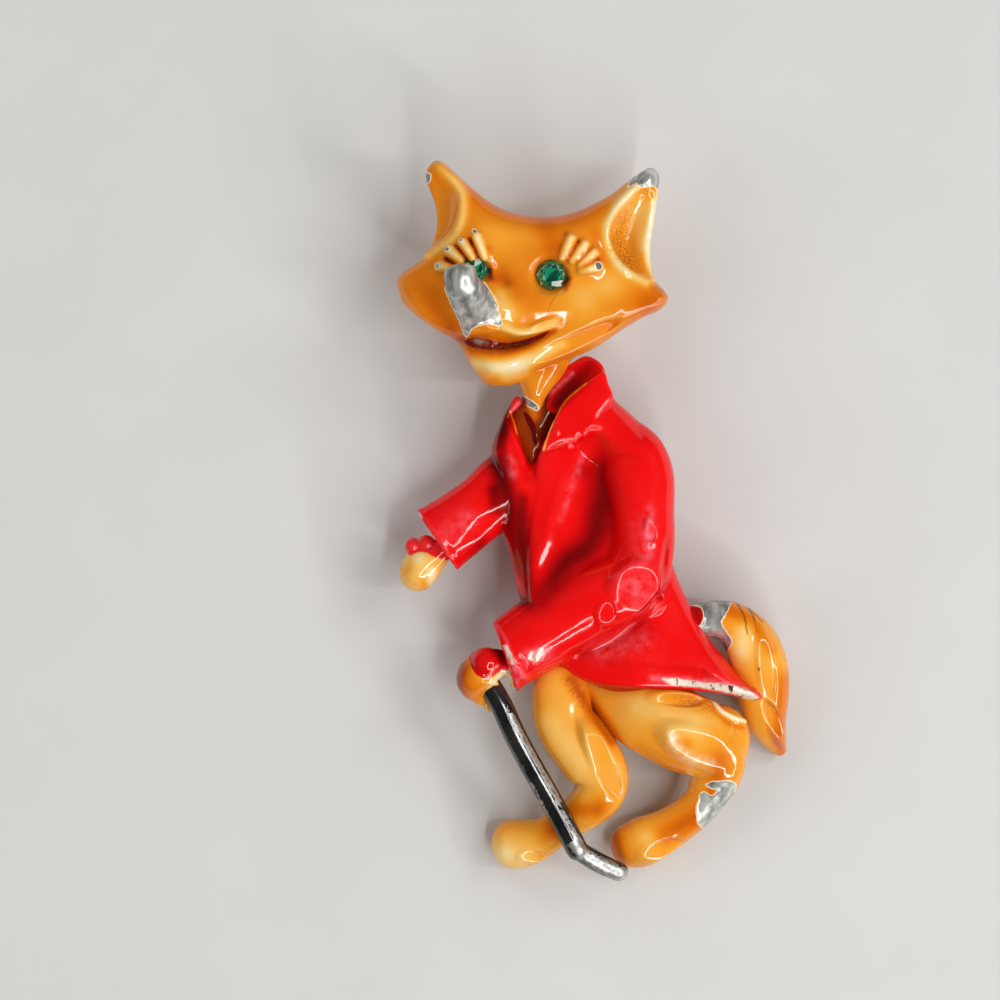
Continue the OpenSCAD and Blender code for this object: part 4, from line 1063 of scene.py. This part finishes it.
# Shirt front, in the coat's opening
shirt = {
    "outline": [
        (514, 402), (540, 392), (570, 392), (562, 412), (548, 440), (537, 466), (528, 464),
        (517, 440), (510, 420)],
    "look": {"rim": 4.6, "crown": 0.9, "rimWidth": 1.2, "back": 0.6, "backWidth": 1.0, "wall": 0.6},
    "strokes": [[(532, 424, 0.3, 0.12), (540, 446, 0.3, 0.12)]],
    "paint": {
        "tone": 0.88,
        # Darker towards the coat's edges as painted shade, and paler near the neck
        "shades": [
            [(556, 410, 0.7, 0.12), (545, 440, 0.5, 0.12)],
            [(531, 406, 0.5, -0.35), (535, 416, 0.35, -0.25)]],
        "seconds": [
            {"outline": [(523.5, 413), (527, 413), (532, 419), (537, 430), (538, 443), (534, 444),
                (531, 432), (527, 422)]}]}}
piece = fuse("shirtFront", [castPlate("shirtFront", shirt["outline"], shirt["look"])])
dressPiece(piece, shirt, amberEnamel, "shirt_front")

# Paws: each with the lumps of its red frill, and threads of enamel drawn out from the near one
nearPaw = {
    "rows": [
        (512, 664, 6.6, 0.8, 0.8), (497, 663, 6.6, 1.2, 1.1), (485, 668, 6.5, 1.65, 1.5),
        (478, 680, 6.4, 1.8, 1.75), (478, 691, 6.2, 1.3, 1.3), (481, 699, 6.0, 0.55, 0.6)],
    "threads": [
        [(489, 687, 6.9, 0.34, 0.4), (494, 679, 6.95, 0.28, 0.35), (500, 673.5, 6.9, 0.24, 0.35),
         (505, 671.5, 6.85, 0.22, 0.35), (509.5, 673.5, 6.75, 0.22, 0.3), (512, 679, 6.6, 0.2, 0.3),
         (512.5, 686, 6.5, 0.18, 0.25)],
        [(481, 697, 6.0, 0.4, 0.4), (485.5, 704, 6.0, 0.24, 0.24), (489, 711, 5.95, 0.14, 0.14)]],
    "lumps": [(486, 662, 7.25, 1.25), (500, 664, 6.9, 0.75)],
    "strokes": [[(496, 676, 0.4, 0.12), (504, 673, 0.4, 0.15)]],
    "paint": {
        "tone": 0.45,
        # Painted shade under the paw, down its left side and inside the cuff's opening; the arch is paler
        "shades": [
            [(470, 690, 1.0, 0.14), (482, 700, 0.8, 0.1)],
            [(462, 665, 0.8, 0.4), (458, 682, 0.7, 0.4), (464, 696, 0.5, 0.2)],
            [(490, 687, 0.3, -0.35), (497, 677, 0.35, -0.45), (505, 671, 0.35, -0.5),
             (512, 678, 0.35, -0.5)], [(498, 648, 0.6, 0.45), (505, 656, 0.5, 0.45)]],
        # Painted highlight round the frill
        "wear": [[(490, 675, 0.1, 0.7), (493, 669, 0.1, 0.8), (499, 665, 0.1, 0.5)]],
        "seconds": [
            {"outline": [(470, 655), (478, 645), (492, 645), (506, 652), (510, 668), (500, 671),
                (490, 678), (480, 676), (472, 668)]}]}}
farPaw = {
    "rows": [
        (444, 548, 5.2, 0.9, 0.8), (432, 558, 4.95, 1.3, 1.1), (422, 567, 4.7, 1.6, 1.45),
        (417, 574, 4.65, 1.5, 1.4)],
    "lumps": [(413, 546, 4.9, 0.7), (426, 544, 5.15, 0.75), (440, 551, 5.2, 0.7)],
    "strokes": [[(415, 572, 0.6, 0.1)]],
    "paint": {
        "tone": 0.3,
        # Tone strokes: darker at the left edge and the lower end, paler in the middle
        "shades": [
            [(404, 570, 0.7, 0.1)], [(426, 585, 0.6, 0.2)],
            [(432, 572, 0.4, -0.3), (430, 584, 0.3, -0.3)], [(420, 558, 0.6, -0.2)]],
        "seconds": [
            {"outline": [(404, 548), (408, 538), (420, 534), (436, 538), (452, 548), (449, 560),
                (440, 558), (432, 556), (424, 552), (416, 553), (410, 556)]}]}}


def makePaw(name, look, node):
    parts = [growLimb(name, look["rows"])]
    for rows in look.get("threads", ()):
        parts.append(growLimb("thread", rows, sides=14))
    for px, py, rise, radius in look["lumps"]:
        spot = placed([(px, py)])[0]
        clearSelection()
        bpy.ops.mesh.primitive_uv_sphere_add(segments=24, ring_count=12, radius=radius,
                                             location=(spot[0], spot[1], rise))
        parts.append(bpy.context.object)
    dressPiece(fuse(name, parts, 0.1, 3), look, amberEnamel, node)


makePaw("nearPaw", nearPaw, "near_paw")
makePaw("farPaw", farPaw, "far_paw")

# Cane: a rod and its bent foot, worn at the foot and bright along one side from wear and a painted
# reflection
cane = {
    "rod": [
        (486, 680, 6.4, 0.925, 0.925), (500.7, 703.8, 6.3, 0.925, 0.925),
        (519.3, 743.7, 5.95, 0.93, 0.93), (559.2, 815.4, 5.35, 0.94, 0.94), (577, 850, 5.05, 0.9, 0.9)],
    "foot": [(574, 848, 5.0, 0.78, 0.75), (600, 864, 4.4, 0.82, 0.75), (620, 873, 3.95, 0.78, 0.7)],
    "strokes": [[(581, 852, 0.5, 0.1)]],
    # Painted reflection and wear: the bands along the rod paint its bright side, and the foot is worn
    "wear": [
        [(493, 705, 0.3, 0.5), (512, 745, 0.3, 0.42), (548, 815, 0.35, 0.6)],
        [(512, 715, 0.2, 0.45), (560, 800, 0.2, 0.45)],
        [(506, 704, 0.32, 0.6), (524, 741, 0.32, 0.55), (563, 812, 0.32, 0.6), (580, 842, 0.35, 0.65)],
        [(572, 846, 0.7, 0.6), (600, 864, 0.8, 0.9), (622, 876, 0.8, 0.9)]]}
piece = fuse("caneRod", [growLimb("caneRod", cane["rod"], 6), growLimb("foot", cane["foot"])], 0.1, 3)
sculpt(piece, cane["strokes"])
store(piece, "wornAndSheen", np.clip(strokesField(pointsOf(piece), cane["wear"]), 0, 1))
finishPiece(piece, darkMetal, "cane")

# Eye stones: a table, two rings of crown facets turned against each other, a girdle and a pavilion.
# Shift is in pixels of the view, and the facets around the glint are painted brightest, as a painted
# highlight
stone = {
    "table": 0.56, "star": 0.82, "crown": 0.42, "girdle": 0.08, "tip": 0.1, "sides": 8,
    "tones": (0.1, 0.9), "glintSize": 0.3}
eyes = [{"name": "eyeStoneLeft", "node": "eye_stone_left", "grow": 0.88, "shift": (1.5, 1), "seed": 3,
         "glint": (0.2, 0.6)},
        {"name": "eyeStoneRight", "node": "eye_stone_right", "grow": 0.98, "shift": (0, 0), "seed": 8,
         "glint": (0.3, -0.5)}]


def cutStone(name, node, grow, shift, seed, glint):
    low, high = (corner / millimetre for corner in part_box(node))
    middle, height, radius = (low + high) / 2, high.z - low.z, (high.x - low.x) / 2 * grow
    middle += Vector((shift[0] * pixel, -shift[1] * pixel, 0))
    clearSelection()
    bpy.ops.mesh.primitive_circle_add(vertices=stone["sides"], radius=radius * stone["table"],
                                      fill_type="NGON", location=(middle.x, middle.y, high.z))
    piece = bpy.context.object
    piece.name = name
    bpy.ops.object.transform_apply(location=True, rotation=True, scale=True)
    bpy.ops.object.mode_set(mode="EDIT")
    bpy.ops.mesh.select_all(action="SELECT")
    crown = stone["crown"] * height
    girdle = stone["girdle"] * height
    turned = 180 / stone["sides"]
    for drop, wider, turn in ((crown / 2, stone["star"] / stone["table"], turned),
                              (crown / 2, 1 / stone["star"], turned), (girdle, 1, 0),
                              (height - crown - girdle, stone["tip"], turned)):
        bpy.ops.mesh.extrude_region_move(TRANSFORM_OT_translate={"value": (0, 0, -drop)})
        bpy.ops.transform.resize(value=(wider, wider, 1), center_override=middle)
        turnSelected(math.radians(turn), middle)
    bpy.ops.mesh.select_all(action="SELECT")
    bpy.ops.mesh.normals_make_consistent(inside=False)
    bpy.ops.mesh.quads_convert_to_tris()
    bpy.ops.mesh.poke()
    bpy.ops.object.mode_set(mode="OBJECT")
    chance = np.random.default_rng(seed)
    # Painted reflections: each facet gets a random brightness of green
    facets = chance.uniform(*stone["tones"], len(piece.data.polygons))
    spots = np.array([face.center for face in piece.data.polygons])
    away = np.linalg.norm(spots[:, :2] - np.array(middle)[:2] - np.array(glint) * radius, axis=1)
    # Painted highlight: facets round the glint get the brightest tone
    facets[away < stone["glintSize"] * radius] = 1
    layer = piece.data.attributes.new("facetReflection", "FLOAT", "FACE")
    layer.data.foreach_set("value", facets)
    finishPiece(piece, greenStone, node, False)


for eye in eyes:
    cutStone(**eye)

# Pin back: bar, hinge barrel, stem and catch as one piece, turned with the coat
pin = {
    "length": 15.6, "barWide": 2.6, "barThick": 0.6, "height": 3.2, "bevel": 0.16, "barrel": 0.95,
    "barrelLong": 2.3, "barrelUp": 1.1, "cheek": (0.22, 0.75, 0.95), "cheekApart": 0.95,
    "cheekUp": 1.9, "stem": 0.36, "point": 0.14, "stemUp": 1.05, "stemPast": 0.6, "catchWire": 0.28,
    "catchTop": 1.85, "catchTurn": 290, "catchFoot": (0.4, 0.6, 0.6), "catchFootAt": (0.3, 2.2),
    "hingeIn": 0.2, "turn": -4}


def addShape(kind, place, turn=(0, 0, 0), size=(1, 1, 1), **settings):
    clearSelection()
    getattr(bpy.ops.mesh, "primitive_" + kind + "_add")(location=place, rotation=turn, **settings)
    shape = bpy.context.object
    shape.scale = size
    bpy.ops.object.transform_apply(location=True, rotation=True, scale=True)
    return shape


barUp = pin["height"] - pin["barThick"] / 2
reach = pin["length"] / 2 - pin["barrel"] - pin["hingeIn"]
parts = [addShape("cube", (0, 0, barUp), size=(pin["barWide"] / 2, pin["length"] / 2,
                                               pin["barThick"] / 2))]
applyModifier(parts[0], "BEVEL", width=pin["bevel"], segments=3)
for side in (-1, 1):
    parts.append(addShape("cube", (side * pin["cheekApart"], reach, pin["cheekUp"]), size=pin["cheek"]))
parts.append(addShape("cylinder", (0, reach, pin["barrelUp"]), (0, math.pi / 2, 0), radius=pin["barrel"],
                      depth=pin["barrelLong"], vertices=32))
parts.append(addShape("cone", (0, 0, pin["stemUp"]), (math.pi / 2, 0, 0), radius1=pin["stem"],
                      radius2=pin["point"], depth=2 * reach + pin["stemPast"], vertices=20))
clearSelection()
bpy.ops.mesh.primitive_circle_add(vertices=14, radius=pin["catchWire"], fill_type="NGON",
                                  location=(0, -reach, pin["catchTop"]), rotation=(math.pi / 2, 0, 0))
catch = bpy.context.object
bpy.ops.object.transform_apply(location=True, rotation=True, scale=True)
bpy.ops.object.mode_set(mode="EDIT")
bpy.ops.mesh.select_all(action="SELECT")
bpy.ops.mesh.spin(steps=20, angle=math.radians(pin["catchTurn"]), center=(0, -reach, pin["stemUp"]),
                  axis=(0, 1, 0))
bpy.ops.object.mode_set(mode="OBJECT")
footAcross, footUp = pin["catchFootAt"]
parts += [catch, addShape("cube", (footAcross, -reach, footUp), size=pin["catchFoot"])]
piece = fuse("pinBack", parts, 0.1, 2)
pick(piece)
pinLow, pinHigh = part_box("pin_back")
pinMiddle = (pinLow + pinHigh) / 2 / millimetre
piece.rotation_euler.z = math.radians(pin["turn"])
piece.location = (pinMiddle.x, pinMiddle.y, 0)
bpy.ops.object.transform_apply(location=True, rotation=True, scale=True)
finishPiece(piece, castMetal, "pin_back")


# The stage: a pale floor, a ring of thin lights for the loops in the gloss, and soft light from the
# sides. Soft lights have a place, a side and a power
stage = {
    "floorSize": 1.6, "cameraUp": 0.6, "sensor": 36, "frameSize": 0.08, "planeUp": 0.006,
    "ringWay": (0.68, -0.54, 1.0), "ringFar": 0.46, "ringHalf": (0.155, 0.18), "ringThick": 0.026,
    "ringPower": 0.55, "world": 0.06,
    "soft": {
        "keySoft": ((0.42, 0.24, 0.42), 0.3, 1.3), "fillSoft": ((-0.48, -0.1, 0.34), 0.35, 0.9),
        "panelDim": ((-0.3, 0.45, 0.45), 0.5, 1.1)}}


def addLight(name, place, target, size, power, glossy=True):
    data = bpy.data.lights.new(name, "AREA")
    data.shape, data.size, data.size_y = "RECTANGLE", size[0], size[1]
    data.energy = power
    lamp = bpy.data.objects.new(name, data)
    bpy.context.scene.collection.objects.link(lamp)
    lamp.location = place
    lamp.visible_glossy = glossy
    lamp.rotation_euler = (Vector(target) - Vector(place)).to_track_quat("-Z", "Y").to_euler()
    return lamp


clearSelection()
bpy.ops.mesh.primitive_plane_add(size=stage["floorSize"])
floor = bpy.context.object
floor.name = "floor"
floor.data.materials.append(floorFinish("paleFloor", floorLook))

way = Vector(stage["ringWay"]).normalized()
across = way.cross(Vector((0, 1, 0))).normalized()
upward = across.cross(way).normalized()
halfAcross, halfUp = stage["ringHalf"]
thick = stage["ringThick"]
for name, dx, dy, size in (("ringRight", halfAcross, 0, (thick, 2 * halfUp)),
                           ("ringLeft", -halfAcross, 0, (thick, 2 * halfUp)),
                           ("ringTop", 0, halfUp, (2 * halfAcross, thick)),
                           ("ringFoot", 0, -halfUp, (2 * halfAcross, thick))):
    centre = way * stage["ringFar"] + across * dx + upward * dy
    lamp = addLight(name, centre, centre - way, size, stage["ringPower"])
    lamp.rotation_euler = Matrix((-across, upward, way)).transposed().to_euler()
for name, (place, side, power) in stage["soft"].items():
    addLight(name, place, (0, 0, 0), (side, side), power, False)

world = bpy.data.worlds.new("paleRoom")
world.use_nodes = True
background = world.node_tree.nodes["Background"]
background.inputs["Color"].default_value = (1, 1, 1, 1)
background.inputs["Strength"].default_value = stage["world"]
bpy.context.scene.world = world
bpy.context.scene.view_settings.view_transform = "Standard"

centre = placed([(view["middle"], view["middle"])])[0] * millimetre
camera = bpy.data.cameras.new("camera")
camera.sensor_width = stage["sensor"]
camera.lens = stage["sensor"] * (stage["cameraUp"] - stage["planeUp"]) / stage["frameSize"]
camera.clip_start, camera.clip_end = 0.01, 10
looker = bpy.data.objects.new("camera", camera)
bpy.context.scene.collection.objects.link(looker)
looker.location = (centre[0], centre[1], stage["cameraUp"])
bpy.context.scene.camera = looker
print("stage set")
